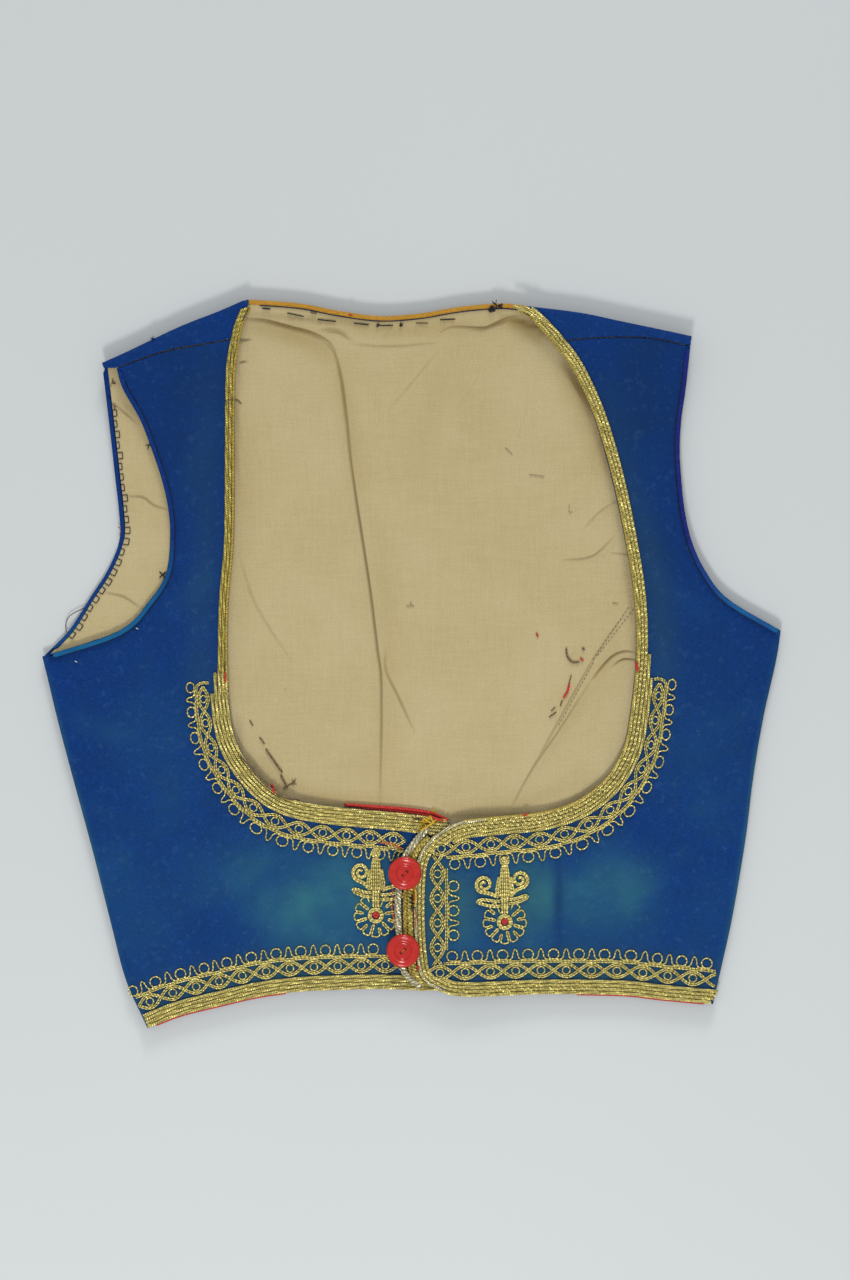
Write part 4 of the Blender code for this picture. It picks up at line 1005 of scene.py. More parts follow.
# %% The back
def back_body():
    """The points of the back up to the fold, and the shares of its columns there."""
    side = 1 - shares_between(SIDE_CELLS)[::-1]
    rows = np.concatenate([UNDERARM * side, shares_between(HOLE_CELLS)[2:]])
    turned = table_read(SIDE_TURN, rows / UNDERARM) * (rows < UNDERARM)
    middle = shares_between(ACROSS_CELLS)
    edge, drop = rolled_edge(np.linspace(0.0, 1.0, ROLL_STEPS + 1)[:-1], turned)
    width = np.linalg.norm(back_left(rows) - back_right(rows), axis=1)[:, None]
    edge = edge * ROLL / width
    first = ROLL / width
    inner = first + (1 - 2 * first) * middle[None, :]
    u = np.hstack([edge, inner, 1 - edge[:, ::-1]])
    drop = np.hstack([drop, np.zeros(inner.shape), drop[:, ::-1]])
    v = np.broadcast_to(rows[:, None], u.shape)
    flat = back_patch(u, v)
    high = back_height(flat[..., 0], flat[..., 1]) + SEAM_BACK * drop
    return np.dstack([flat, high]), u[-1]


def shoulder_tabs(across):
    """The rows of points that go round the fold and down to the shoulder seams."""
    outer, low = spanned(BACK_TOP, across), spanned(BACK_TOP_INSET, across)
    on_right = across < 0.5
    share = np.where(on_right, across / NECK_SPAN[0], (across - NECK_SPAN[1]) / (1 - NECK_SPAN[1]))
    share = np.clip(share, 0, 1)
    seam = np.where(on_right[:, None], RIGHT["shoulder"].back().at(share),
                    LEFT["shoulder"].at(share))
    seam = seam + unit(outer - seam) * SEAM_GAP
    bottom = back_height(low[:, 0], low[:, 1])
    top = front_height(low[:, 0], low[:, 1])
    made = []
    for angle in np.radians(FOLD_ANGLES[1:]):
        place = low + (outer - low) * math.cos(angle)
        made.append(np.column_stack([place, bottom + (top - bottom) / 2 * (1 + math.sin(angle))]))
    for along in FOLD_SHARES:
        place = low + (seam - low) * along
        lifted = front_height(place[:, 0], place[:, 1]) + SEAM_LIFT * along
        made.append(np.column_stack([place, lifted]))
    return np.array(made)


def back_panel():
    """The points of the whole back, and which of its cells are kept."""
    body, across = back_body()
    places = np.concatenate([body, shoulder_tabs(across)])
    keep = np.ones((len(places) - 1, len(across) - 1), bool)
    centre = (across[1:] + across[:-1]) / 2
    keep[len(body) - 1:, (centre > NECK_SPAN[0]) & (centre < NECK_SPAN[1])] = False
    return places, keep


back_places, back_keep = back_panel()
BACK, BACK_AREA = cloth("back_cloth", grid_mesh(back_places, back_keep), WOOL, False, BLUE)
x, y, _ = points_of(BACK).T
paint(BACK, fade=spots(x, y, BACK_FADES))
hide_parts("back")
print("back area", round(BACK_AREA, 4), "m2")

# %% [markdown]
# The lining is thin cotton and shows the most folds: one long crease down the wearer's right, a
# gather under the neck, and a doubled seam low on the left that shows through from the back. Each
# is a line of a few drawn points. The grid is coarse where the cotton is calm, and its cells are
# divided where a crease runs.

# %% Folds and painted shade of the lining
LINING_INSETS = [(0.0, 4.6), (0.48, 5.0), (0.56, 3.2), (1.0, 3.2)]
LINING_HEM, LINING_NECK = 7.0, 0.2
LINING_ROWS, LINING_COLUMNS = 138, 134
FINE_REACH, FINE_CUTS = 3.6, 4

# Broad folds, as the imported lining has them. Columns: height, half-width, line.
BROAD = [
    (0.9, 14, (-66, 200), (-46, 150)), (1.1, 13, (-44, 160), (-38, 90)),
    (1.1, 14, (-38, 95), (-20, -20)), (0.9, 13, (-20, 5), (-20, -72)),
    (0.6, 12, (-14, 5), (2, -50)), (0.9, 13, (130, 8), (86, -42)),
    (0.8, 12, (92, -34), (60, -78)), (0.9, 22, (92, 168), (50, 112)),
    (0.7, 18, (58, 196), (70, 130)), (0.5, 24, (-60, 80), (-92, 20)),
    (0.5, 26, (20, 120), (64, 30)),
]

# Pressed creases on them. Columns: height, reach to the left and to the right, painted shade with a
# little dirt, line.
SHARP = [
    (1.0, 3.4, 1.0, 0.85, (-19.5, -83.4), (-18.9, -14.4), (-21.3, 8.4), (-24.9, 38.4),
     (-28.5, 63), (-34.5, 102), (-38.7, 133.8), (-41.7, 166.2), (-45.9, 182.4), (-49.5, 191.4)),
    (1.1, 3.0, 1.1, 1.0, (-46.5, 188), (-50.5, 192.6), (-59.7, 197.4), (-74.7, 201.6),
     (-88.5, 205.2), (-100, 206)),
    (0.8, 2.6, 1.1, 0.5, (-51.9, 199.8), (-42.9, 199.2), (-35.7, 194.4)),
    (0.6, 3.5, 1.6, 0.3, (-35.7, 192.6), (-12.9, 191.4), (14.7, 193.2)),
    (0.9, 3.0, 1.1, 0.9, (65.1, 209.4), (50.1, 202.8), (42.9, 200.4), (24.9, 201), (18.3, 198.6)),
    (0.7, 2.4, 1.2, 0.9, (66, 207.6), (57, 206), (44, 200)),
    (0.6, 5.0, 2.4, 0.2, (17.1, 186.6), (-1.5, 163.8), (-11.7, 152.4)),
    (0.8, 4.0, 1.4, 0.55, (-14.7, 8.4), (-14.1, -4), (-6.9, -19.2), (2.1, -39)),
    (0.5, 4.0, 2.0, 0.25, (-102, 66), (-92, 36), (-72, 4)),
    (1.0, 2.6, 1.0, 0.95, (135.9, 6), (127, 6.6), (119.1, 2.4), (108.3, -10.2)),
    (0.9, 2.6, 1.0, 0.5, (108.3, -10.2), (88.5, -40.8), (72.9, -63.6), (57.9, -91.2)),
    (0.6, 2.2, 1.0, 1.0, (135.5, 1.6), (127, 2.2), (121, -1.4)),
    (0.5, 2.4, 1.0, 0.45, (133.5, 34.8), (111.3, 5.4), (66.9, -74.4)),
    (0.8, 2.6, 1.0, 0.35, (124.5, 97.8), (114, 91), (104.1, 81)),
    (0.7, 2.6, 1.0, 0.5, (122, 76), (112, 66), (104, 62.5), (90, 61.5)),
    (0.6, 2.2, 1.0, 0.35, (130.5, 64.4), (118.5, 66)),
    (0.8, 2.4, 1.0, 0.9, (-95.9, 193.7), (-102.5, 192.4)),
    (0.6, 2.2, 1.0, 0.9, (-98.5, 180.6), (-103.4, 179.6)),
    (0.8, 3.4, 1.2, 1.0, (93, 177), (99, 166.5), (107, 152)),
    (0.8, 3.0, 1.2, 0.6, (-176.7, 156), (-163.5, 144.6)),
    (0.7, 2.6, 1.2, 0.6, (-170.1, 101.4), (-160.5, 100.8), (-153.9, 96), (-144.9, 93)),
    (0.7, 2.8, 1.2, 0.5, (-184.5, 43.8), (-172.5, 41.4), (-161.7, 34.2)),
]

# Small gathers under the neck's band, with the same columns.
GATHERS = [
    (0.45, 2.2, 1.4, 0.1, (-68, 207), (-70, 203), (-74, 200)),
    (0.5, 2.4, 1.4, 0.12, (-11, 203), (-12, 199), (-17, 194)),
    (0.4, 2.0, 1.4, 0.08, (4, 203.5), (4, 199), (2, 196)),
    (0.45, 2.2, 1.4, 0.12, (21, 206), (20, 201), (14, 198)),
    (0.5, 4.0, 2.4, 0.05, (72, 170), (70, 150), (62, 128)),
    (0.5, 4.0, 2.4, 0.05, (44, 180), (38, 165), (26, 150)),
]
CREASES = SHARP + GATHERS

# Brown soil. Columns: centre x, y, reach in x, y, strength.
STAINS = [(98.1, 5.4, 1.6, 1.6, 0.5), (-28, -60, 16, 10, 0.1), (40, 150, 40, 26, 0.05),
          (110, -20, 14, 20, 0.06), (-92, 202, 10, 5, 0.12)]

# Painted shadow along the edges, where the cotton lies against a braid, and along some creases.
# Columns: strength, reach, line.
SHADOW_LINES = [
    (0.9, 1.1, (-100, 206.4), (-88.5, 205.3), (-74.7, 201.7), (-59.7, 197.5), (-50.5, 192.7)),
    (0.75, 1.0, (-53, 194), (-46.5, 187), (-42.5, 172), (-39.5, 150), (-36, 120)),
    (0.8, 1.1, (66, 208.8), (50, 203), (43, 200.6), (34, 200.8)),
    (0.4, 1.0, (-56, 199.8), (-46, 200), (-38, 197)),
    (0.85, 2.2, (90, 182), (97, 170), (103, 160), (109, 147)), (0.35, 1.6, (109, 147), (121, 108)),
    (1.0, 2.4, (55, 207), (66, 204.5), (76, 201), (82, 196)), (0.3, 5.0, (62, 206), (80, 194)),
    (0.5, 2.2, (-76, -78), (-49, -84), (-7, -88.5)), (0.55, 2.4, (12, -91.5), (53, -91), (78, -88)),
    (0.45, 2.0, (78, -88), (98, -81), (115, -68)), (0.5, 1.8, (-101, -54), (-88, -70), (-74, -79)),
    (0.3, 1.6, (-104, -30), (-101, -54)), (0.35, 1.5, (-96, 209), (-60, 206), (-20, 203)),
    (0.35, 1.4, (-103.5, 190), (-104.5, 160), (-104.5, 100)),
    (0.3, 1.4, (126, 70), (132, 30), (133, 0)),
]

# Soft painted shade beside the creases and along the braids and the band. Columns: strength,
# half-width, line.
SOFT_SHADE_LINES = [
    (0.4, 6, (-100, 204), (-75, 197), (-56, 190), (-46, 178)),
    (0.25, 6, (-45, 186), (-38, 150), (-30, 100)),
    (0.3, 5, (-60, 208), (-20, 200), (20, 202), (52, 207)),
    (0.5, 5, (50, 204), (66, 203), (82, 192)),
    (0.3, 8, (88, 184), (104, 150), (118, 110)), (0.15, 7, (-20, 90), (-14, 10), (-16, -80)),
    (0.15, 8, (-98, 150), (-100, 80), (-102, 10)), (0.3, 5, (-96, -56), (-60, -78), (0, -84)),
    (0.2, 5, (10, -86), (60, -86), (104, -66)), (0.15, 5, (128, 20), (112, -6), (78, -60)),
    (0.15, 12, (30, 186), (10, 150), (0, 110)),
]

print(len(BROAD), "broad folds,", len(CREASES), "creases")

# %% [markdown]
# The grid of the lining is cut finer along each crease, and then every point is lifted to the
# height of the folds there. The shade painted along the creases follows the same lines.

# %% The lining
def lining_panel():
    """The lining as a bmesh, and the shade painted in its creases and along its edges at each
    point.
    """
    v = np.linspace(0, 1, LINING_ROWS)
    inset = table_read(LINING_INSETS, v) / np.linalg.norm(back_left(v) - back_right(v), axis=1)
    u = inset[:, None] + (1 - 2 * inset[:, None]) * np.linspace(0, 1, LINING_COLUMNS)[None, :]
    tall = np.linalg.norm(spanned(BACK_TOP_INSET, u) - BACK_HEM.at(u), axis=-1)
    up = (LINING_HEM + (tall - LINING_HEM - LINING_NECK) * v[:, None]) / tall
    flat = back_patch(u, up)
    made = grid_mesh(np.dstack([flat, np.zeros(u.shape)]))

    middles = np.array([face.calc_center_median() for face in made.faces]) / MM
    near = np.full(len(middles), FAR_AWAY)
    for _, _, _, _, *points in CREASES:
        near = np.minimum(near, np.abs(off_line(middles[:, 0], middles[:, 1], points)[0]))
    fine = [face for face, away in zip(made.faces, near) if away < FINE_REACH]
    edges = list(dict.fromkeys(edge for face in fine for edge in face.edges))
    bmesh.ops.subdivide_edges(made, edges=edges, cuts=FINE_CUTS, use_grid_fill=True)

    x, y, _ = np.array([vertex.co for vertex in made.verts]).T / MM
    high, shade_and_soil = creases(x, y, CREASES)
    shade_and_soil = np.maximum(shade_and_soil, ridges(x, y, SHADOW_LINES))
    high = high + back_height(x, y) + LINING_BASE + ridges(x, y, BROAD)
    for vertex, z in zip(made.verts, high * MM):
        vertex.co.z = z
    return made, shade_and_soil


lining_mesh, shade_and_soil = lining_panel()
LINING, LINING_AREA = cloth("lining_cloth", lining_mesh, LINEN, False, COTTON)
x, y, _ = points_of(LINING).T
# The crease layer holds painted shade with a little dirt; the other layer holds stains and soft
# painted shade.
paint(LINING, crease=shade_and_soil, fade=np.maximum(spots(x, y, STAINS), ridges(x, y, SOFT_SHADE_LINES)))
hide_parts("back_lining")
print("lining area", round(LINING_AREA, 4), "m2,", len(LINING.data.polygons), "faces")

# %% [markdown]
# A couched cord lies on the cloth and follows every dip in it. To lay one, each point of its
# route is dropped onto the cloth from above with a ray, and then lifted by the cord's own
# radius. The cord itself is a grid rolled up round the route, closed at its seam and its
# ends, with a UV map that runs along it in metres.

# %% Laying cords on the cloth
def height_over(*items):
    """A function that gives the height of the highest of these sheets at plan points."""
    bpy.context.view_layer.update()
    seen = bpy.context.evaluated_depsgraph_get()
    trees = []
    for item in items:
        made = bmesh.new()
        made.from_object(item, seen)
        trees.append(BVHTree.FromBMesh(made))
        made.free()

    def height(plan):
        made = []
        for x, y in plan:
            tops = []
            for tree in trees:
                hit = tree.ray_cast(Vector((x * MM, y * MM, 1.0)), Vector((0, 0, -1)))[0]
                tops.append(hit.z / MM if hit else -1.0)
            made.append(max(tops))
        made = np.array(made)
        missed = made < 0
        if missed.all():
            made[:] = 0.0
        elif missed.any():
            made[missed] = np.interp(np.flatnonzero(missed), np.flatnonzero(~missed),
                                     made[~missed])
        return made

    return height


ON_RIGHT = height_over(FRONT_RIGHT, BACK)
ON_LEFT = height_over(FRONT_LEFT, BACK)
ON_BACK = height_over(BACK)
ON_LINING = height_over(LINING)


def laid(plan, height, lift):
    """Plan points on the cloth, lifted by so many millimetres."""
    plan = np.asarray(plan, float)
    return np.column_stack([plan[:, :2], height(plan[:, :2]) + lift])


print("there are", len(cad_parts), "solids to dress")

# %% [markdown]
# Across each cord stands a frame of two ways, sideways and upwards. Rings of points in that
# frame make the cord, and strands that wind about each other are only routes that turn in it.

# %% Winding cords
TIP_SIZE, TIP_REACH = 0.75, 0.5


def is_ring(route):
    return np.linalg.norm(route[0] - route[-1]) < 1e-6


def frames(route):
    """Along, sideways and upwards at each point of a cord."""
    if is_ring(route):
        run = np.roll(route[:-1], -1, axis=0) - np.roll(route[:-1], 1, axis=0)
        run = np.vstack([run, run[:1]])
    else:
        run = np.gradient(route, axis=0)
    run = unit(run)
    side = np.cross(run, (0.0, 0.0, 1.0))
    side /= np.maximum(np.linalg.norm(side, axis=1, keepdims=True), 1e-6)
    return run, side, np.cross(side, run)


def run_along(route):
    return np.concatenate([[0.0], np.cumsum(np.linalg.norm(np.diff(route, axis=0), axis=1))])


def wound(route, away, pitch, plies, flat, turn=0.0):
    """Strands that wind round a route at this distance."""
    _, side, up = frames(route)
    along = run_along(route)
    made = []
    for ply in range(plies):
        angle = 2 * math.pi * (along / pitch + ply / plies) + turn
        made.append(route + side * (away * np.cos(angle))[:, None]
                    + up * (away * flat * np.sin(angle))[:, None])
    return made


def paired(route, away):
    """Two cords side by side along a route."""
    _, side, _ = frames(route)
    return [route + side * away, route - side * away]


def cord_rings(route, radius, sides, flat):
    """Rings of points round a route, drawn to a point at its ends, and how far along each is."""
    run, side, up = frames(route)
    along = run_along(route)
    sizes = np.full(len(route), radius)
    if not is_ring(route):
        thin = TIP_SIZE * radius
        sizes = np.concatenate([[0.0, thin], sizes[1:-1], [thin, 0.0]])
        tips = run[0] * radius * TIP_REACH, run[-1] * radius * TIP_REACH
        route = np.vstack([route[0] - tips[0], route, route[-1] + tips[1]])
        side, up = (np.vstack([way[:1], way, way[-1:]]) for way in (side, up))
        along = np.concatenate([[along[0]], along, [along[-1]]])
    angle = np.linspace(0.0, 2 * math.pi, sides + 1)
    ring = np.cos(angle)[None, :, None] * side[:, None]
    ring = ring + flat * np.sin(angle)[None, :, None] * up[:, None]
    return route[:, None] + ring * sizes[:, None, None], along


def cords(name, rows, sides=6, flat=1.0):
    """Many cords joined as one piece. Rows have the columns: route, radius, finish. flat is
    how thick a cord is for its width."""
    finishes = []
    places, runs, cut, slots = [], [], [], []
    for route, radius, finish in rows:
        if finish not in finishes:
            finishes.append(finish)
        rings, along = cord_rings(np.asarray(route, float), radius, sides, flat)
        places.append(rings)
        runs.append(along * MM)
        cut.append(len(rings))
        slots += [finishes.index(finish)] * len(rings)
    places, runs = np.concatenate(places), np.concatenate(runs)
    keep = np.ones((len(places) - 1, sides), bool)
    keep[np.cumsum(cut)[:-1] - 1] = False
    made = grid_mesh(places, keep)
    layer = made.loops.layers.uv.active
    last = len(places) - 1
    for face in made.faces:
        ring = 0
        for corner in face.loops:
            ring = round(corner[layer].uv.y * last)
            corner[layer].uv.y = runs[ring]
        face.material_index = slots[ring]
    bmesh.ops.remove_doubles(made, verts=made.verts, dist=1e-7)
    print(name, len(made.faces), "faces")
    return put(made, name, *finishes)


def trim(part, ending, rows, slot, sides=6, flat=1.0):
    """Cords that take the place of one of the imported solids."""
    item = cords(part + ending, rows, sides, flat)
    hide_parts(part)
    return item


# %% [markdown]
# The braid is rows of plaited gold cord. Each row is two cords wound round each other, pressed
# flat, and it lies beside the next with a dark groove between. The straps carry two or three
# rows beside a plain core, and the neckline and the hem four or five.

# %% Braids
TRIM_CLEAR, CORE_STEP, CALM_POINTS = 0.12, 1.2, 9
PLAIT, PLAIT_AWAY, PLAIT_FLAT, PLAIT_LIFT = (2, 0.56), 0.64, 0.5, 0.82
PLAIT_PITCH, PLAIT_STEP, PLAIT_TURN = 2.6, 0.43, 1.9

RIGHT_TOP = Line([(-102.5, 194.5), (-101, 201), (-98.5, 208), (-95.5, 213.5)])
LEFT_TOP = Line([(60, 212), (68.1, 208.8), (75.3, 202.2), (84.5, 192)])
RIGHT_NECK_EDGE = chained(RIGHT["neck"].back(), RIGHT_TOP)
HEM_END = Line([(180.5, -203.5), (182.4, -203.7)])
LEFT_EDGE = chained(LEFT_TOP, LEFT["neck"], LEFT["edge"], LEFT["hem"].back(), HEM_END)
WIDE_RIGHT, WIDE_LEFT = RIGHT_NECK_EDGE.near((-110, -5)), LEFT_EDGE.near((134.5, 6))
CORNER, FOOT = LEFT_EDGE.near((12.5, -103)), LEFT_EDGE.near((10, -192))

# Rows of a braid. Columns: finish, (cords, their radius), first share, last share, then
# (share, distance from the edge).
NECK_RIGHT_ROWS = [
    (OLIVE, (1, 0.8), WIDE_RIGHT - 0.03, 1.0, (0, 0.65)),
    (GOLD, PLAIT, 0.0, WIDE_RIGHT, (0, 1.0)),
    (GOLD, PLAIT, 0.0, WIDE_RIGHT, (WIDE_RIGHT - 0.05, 3.2), (WIDE_RIGHT, 2.9)),
    (GOLD, PLAIT, 0.0, WIDE_RIGHT, (WIDE_RIGHT - 0.05, 5.4), (WIDE_RIGHT, 5.1)),
    (DULL_GOLD, PLAIT, WIDE_RIGHT, 1.0, (WIDE_RIGHT, 2.9), (WIDE_RIGHT + 0.03, 2.5),
     (0.93, 2.5), (1.0, 2.0)),
    (DULL_GOLD, PLAIT, WIDE_RIGHT, 0.99, (WIDE_RIGHT, 5.1), (WIDE_RIGHT + 0.03, 4.6),
     (0.93, 4.6), (1.0, 3.4)),
    (GOLD, PLAIT, 0.0, WIDE_RIGHT, (0, 7.6)),
    (GOLD, PLAIT, 0.0, WIDE_RIGHT - 0.03, (0, 9.8)),
]
HEM_RIGHT_ROWS = [(GOLD, PLAIT, 0.004, 0.995, (0, away)) for away in (1.0, 3.25, 5.5, 7.75)]
LEFT_ROWS = [
    (OLIVE, (1, 0.75), 0.0, CORNER - 0.03, (0, 0.5)),
    (GOLD, PLAIT, 0.0, CORNER - 0.05, (0, 1.6), (0.03, 1.8), (WIDE_LEFT - 0.03, 1.8),
     (WIDE_LEFT + 0.02, 1.1)),
    (PALE_GOLD, PLAIT, CORNER - 0.05, FOOT + 0.01, (0, 1.1)),
    (GOLD, PLAIT, FOOT + 0.01, 0.995, (0, 1.0)),
    (GOLD, PLAIT, 0.006, 0.997, (0, 3.3), (0.03, 3.85), (WIDE_LEFT - 0.03, 3.85),
     (WIDE_LEFT + 0.02, 3.25)),
    (GOLD, PLAIT, 0.014, 0.999, (0, 4.6), (0.04, 5.9), (WIDE_LEFT - 0.03, 5.9),
     (WIDE_LEFT + 0.02, 5.5)),
    (GOLD, PLAIT, WIDE_LEFT, CORNER - 0.005, (0, 7.7)),
    (GOLD, PLAIT, WIDE_LEFT + 0.02, CORNER - 0.012, (0, 9.9)),
    (GOLD, PLAIT, FOOT + 0.008, 1.0, (0, 7.75)),
]


def beside_by(line, first, last, step, away):
    """Plan points along a stretch of a line, as far to its left as away says by share."""
    share = np.linspace(first, last, max(2, round((last - first) * line.length / step) + 1))
    return line.at(share) + line.left(share) * table_read(away, share)[:, None]


def calmed(route):
    """The route with its small ups and downs evened out."""
    ends = CALM_POINTS // 2
    high = np.pad(route[:, 2], ends, mode="edge")
    made = route.copy()
    made[:, 2] = np.convolve(high, np.ones(CALM_POINTS) / CALM_POINTS, mode="valid")
    return made


def braid(name, line, height, table):
    rows = []
    for number, (finish, (count, radius), first, last, *away) in enumerate(table):
        step = PLAIT_STEP if count > 1 else CORE_STEP
        lift = TRIM_CLEAR + (PLAIT_LIFT if count > 1 else radius)
        base = calmed(laid(beside_by(line, first, last, step, away), height, lift))
        strands = [base]
        if count > 1:
            turn = PLAIT_TURN * number
            strands = wound(base, PLAIT_AWAY, PLAIT_PITCH, count, PLAIT_FLAT, turn)
        rows += [(strand, radius, finish) for strand in strands]
    return trim(name, "_cords", rows, "gold_thread", 5)


NECK_BRAID = braid("braid_neck_right", RIGHT_NECK_EDGE, ON_RIGHT, NECK_RIGHT_ROWS)
braid("braid_hem_right", RIGHT["hem"], ON_RIGHT, HEM_RIGHT_ROWS)
LEFT_BRAID = braid("braid_left", LEFT_EDGE, ON_LEFT, LEFT_ROWS)

# %% [markdown]
# Beside each braid runs a border of couched cord. Two pairs of cord cross and part again to make
# a chain of eyes, each with a small ring in it. A doubled cord forms the rail above
# them. On the rail one fine cord turns over and over: a ring above each crossing, and a
# narrow peak above each eye. It is drawn once, for one eye, and repeated.

# %% Borders
PITCH, BAND_CLEAR, BORDER_REACH = 15.0, 0.5, 0.004
EYE_MIDDLE, EYE_REACH, PAIR, PAIR_RADIUS = 5.0, 3.85, 0.53, 0.42
CROSS_LIFT, CROSS_SHARP, LEAD = 0.75, 12, 3.6
EYE_RING, EYE_RING_RADIUS, EYE_RING_POINTS = 2.3, 0.42, 15
RAIL, RAIL_RADIUS, RAIL_PAIR, RAIL_TRIM, RAIL_STEP = 10.4, 0.4, 0.5, 3.5, 1.5
RING_MIDDLE, RING_AWAY = 14.6, 3.1
PICOT_RADIUS, PICOT_ARC, PICOT_STEP, PICOT_LIFT = 0.43, (-62, 242, 18), 0.9, 0.1
BRAID_NECK, BRAID_HEM, FRONT_CHAIN = 10.8, 8.8, 8.6
EVEN = [(0.0, 1.0), (1.0, 1.0)]
NARROW_RIGHT = [(0.0, 1.0), (0.4, 1.0), (0.65, 0.86), (1.0, 0.78)]
NARROW_LEFT = [(0.0, 0.76), (0.3, 0.82), (0.6, 1.0), (1.0, 1.0)]

# How the rail closes round the last eye of a neckline. Columns: along, up.
CLOSED = -1
RAIL_ENDS = [(2.0, 10.3), (-0.4, 9.9), (-2.3, 7.6), (-2.8, 4.0), (-2.4, 0.4)]

# Columns: name, line of the edge, braid's width, start, end, eyes, which ends turn a
# corner, how much of the rail is left off at each end (or CLOSED), scales.
BORDERS = [
    ("neck_right", RIGHT["neck"].back(), BRAID_NECK, (-4.5, -109), (-127, -14), 12, (0, 0),
     (0, CLOSED), NARROW_RIGHT),
    ("hem_right", RIGHT["hem"], BRAID_HEM, (-163.5, -203), (-8.5, -181), 11, (0, 1), (0, 1),
     EVEN),
    ("neck_left", Line(NECK_LEFT + [(98, -82), (77, -88.3), (53, -90.6), (29, -93.2), (-20, -96)]),
     BRAID_NECK, (152, -12), (10.8, -112), 13, (0, 1), (CLOSED, 9), NARROW_LEFT),
    ("front_left", Line([(1.5, -90), (1.5, -210)]), FRONT_CHAIN, (15, -117.9), (15, -176.6), 4,
     (1, 1), (4.5, 4.5), EVEN),
    ("hem_left", Line([(-20, -199.5)] + HEM_LEFT[1:]), BRAID_HEM, (9.5, -184), (182, -190), 11.4,
     (1, 0), (10, 0), EVEN),
]

# The fine cord over one eye, from the middle of the ring before it. Columns: along, up.
PEAK_POINTS = [(1.7, 11.75), (4.3, 11.65), (5.7, 13.2), (6.3, 16.2), (7.5, 18.0), (8.7, 16.2),
               (9.3, 13.2), (10.7, 11.65), (13.3, 11.75)]

print(len(BORDERS), "borders, each eye", PITCH, "mm long")

# %% [markdown]
# Each of the four kinds of cord in a border has its own function. Its points are given as
# along and up, and the function called lay puts them beside the edge.

# %% Drawing a border
def ring_arc(first, last, count, radius=RING_AWAY, middle=(0.0, RING_MIDDLE)):
    """Points on an arc, from one angle to another in degrees."""
    angle = np.radians(np.linspace(first, last, count))
    made = np.column_stack([middle[0] + radius * np.cos(angle),
                            middle[1] + radius * np.sin(angle)])
    if last - first == 360:
        made[-1] = made[0]
    return made


def eye_chain(lay, total, bare):
    """Two pairs of cord that cross and part again."""
    inside = np.linspace(-LEAD * bare[0], total + LEAD * bare[1], round(total) + 1)
    swing = np.cos(math.pi * inside / PITCH)
    rows = []
    for hand in (-1, 1):
        wave = EYE_MIDDLE + hand * EYE_REACH * np.sin(math.pi * inside / PITCH)
        route = lay(np.column_stack([inside, wave]), PAIR_RADIUS)
        route[:, 2] += CROSS_LIFT * np.abs(swing) ** CROSS_SHARP * (swing * hand > 0)
        rows += [(strand, PAIR_RADIUS, GOLD) for strand in paired(route, PAIR)]
    return rows


def doubled_rail(lay, total, ends):
    """The doubled cord above the eyes. It closes round the last eye where ends says so."""
    trims = [RAIL_TRIM if trim == CLOSED else trim for trim in ends]
    straight = np.arange(trims[0], total - trims[1], RAIL_STEP)
    rail = np.column_stack([straight, np.full_like(straight, RAIL)])
    if ends[0] == CLOSED:
        rail = np.vstack([np.array(RAIL_ENDS)[::-1], rail])
    if ends[1] == CLOSED:
        rail = np.vstack([rail, np.array(RAIL_ENDS) * (-1, 1) + (total, 0)])
    rail = lay(Line(rail, bend=1).part(0, 1), RAIL_RADIUS)
    return [(strand, RAIL_RADIUS, GOLD) for strand in paired(rail, RAIL_PAIR)]


def eye_rings(lay, count):
    """A small ring in each eye."""
    rows = []
    for eye in range(count):
        ring = ring_arc(0, 360, EYE_RING_POINTS, EYE_RING, (PITCH * (eye + 0.5), EYE_MIDDLE))
        rows.append((lay(ring, EYE_RING_RADIUS), EYE_RING_RADIUS, GOLD))
    return rows


def picots(lay, count, bare):
    """The fine cord that turns in a ring above each crossing and a peak above each eye."""
    start, stop = bare[0], count + 1 - bare[1]
    drawn = []
    for eye in range(start, stop):
        drawn.append(ring_arc(*PICOT_ARC) + (PITCH * eye, 0.0))
        if eye < stop - 1:
            drawn.append(np.array(PEAK_POINTS) + (PITCH * eye, 0.0))
    fine = Line(np.vstack(drawn), bend=3)
    points = fine.at(np.linspace(0, 1, round(fine.length / PICOT_STEP)))
    return [(lay(points, PICOT_RADIUS, PICOT_LIFT), PICOT_RADIUS, GOLD)]


print("one peak has", len(PEAK_POINTS), "points, one eye's ring", EYE_RING_POINTS)

# %% [markdown]
# To lay a border, its straight drawing is bent beside the edge's line. Beyond the line's two
# ends it runs straight on.

# %% Laying the borders
def border(name, edge, offset, first, last, count, bare, ends, scales, height):
    """A couched border beside a braid, in place of its imported solid."""
    line = edge.beside(offset + BAND_CLEAR)
    low, high = line.near(first), line.near(last)
    total = count * PITCH
    stretch = (high - low) / total

    def lay(points, radius, more=0.0):
        points = np.asarray(points, float)
        along, across = points[:, 0], points[:, 1]
        share = low + along * stretch
        beyond = (share - np.clip(share, 0.0, 1.0)) * line.length
        share = np.clip(share, 0.0, 1.0)
        left = line.left(share, BORDER_REACH)
        ahead = np.column_stack([left[:, 1], -left[:, 0]])
        across = across * table_read(scales, along / total)
        plan = line.at(share) + ahead * beyond[:, None] + left * across[:, None]
        return laid(plan, height, TRIM_CLEAR + radius + more)

    whole = int(count)
    rows = (eye_chain(lay, total, bare) + doubled_rail(lay, total, ends)
            + eye_rings(lay, whole) + picots(lay, whole, bare))
    return trim("border_" + name, "_cords", rows, "gold_thread")


for name, *row in BORDERS:
    border(name, *row, ON_RIGHT if name.endswith("right") else ON_LEFT)

# %% [markdown]
# Two hanging flowers grow from the neck's border. The stem is gold cord sewn down side by side
# until it is solid, with a scroll and a leaf on each side. One cord wanders out and back to
# make all the petals, round a satin ring, and a red knot fills the middle.

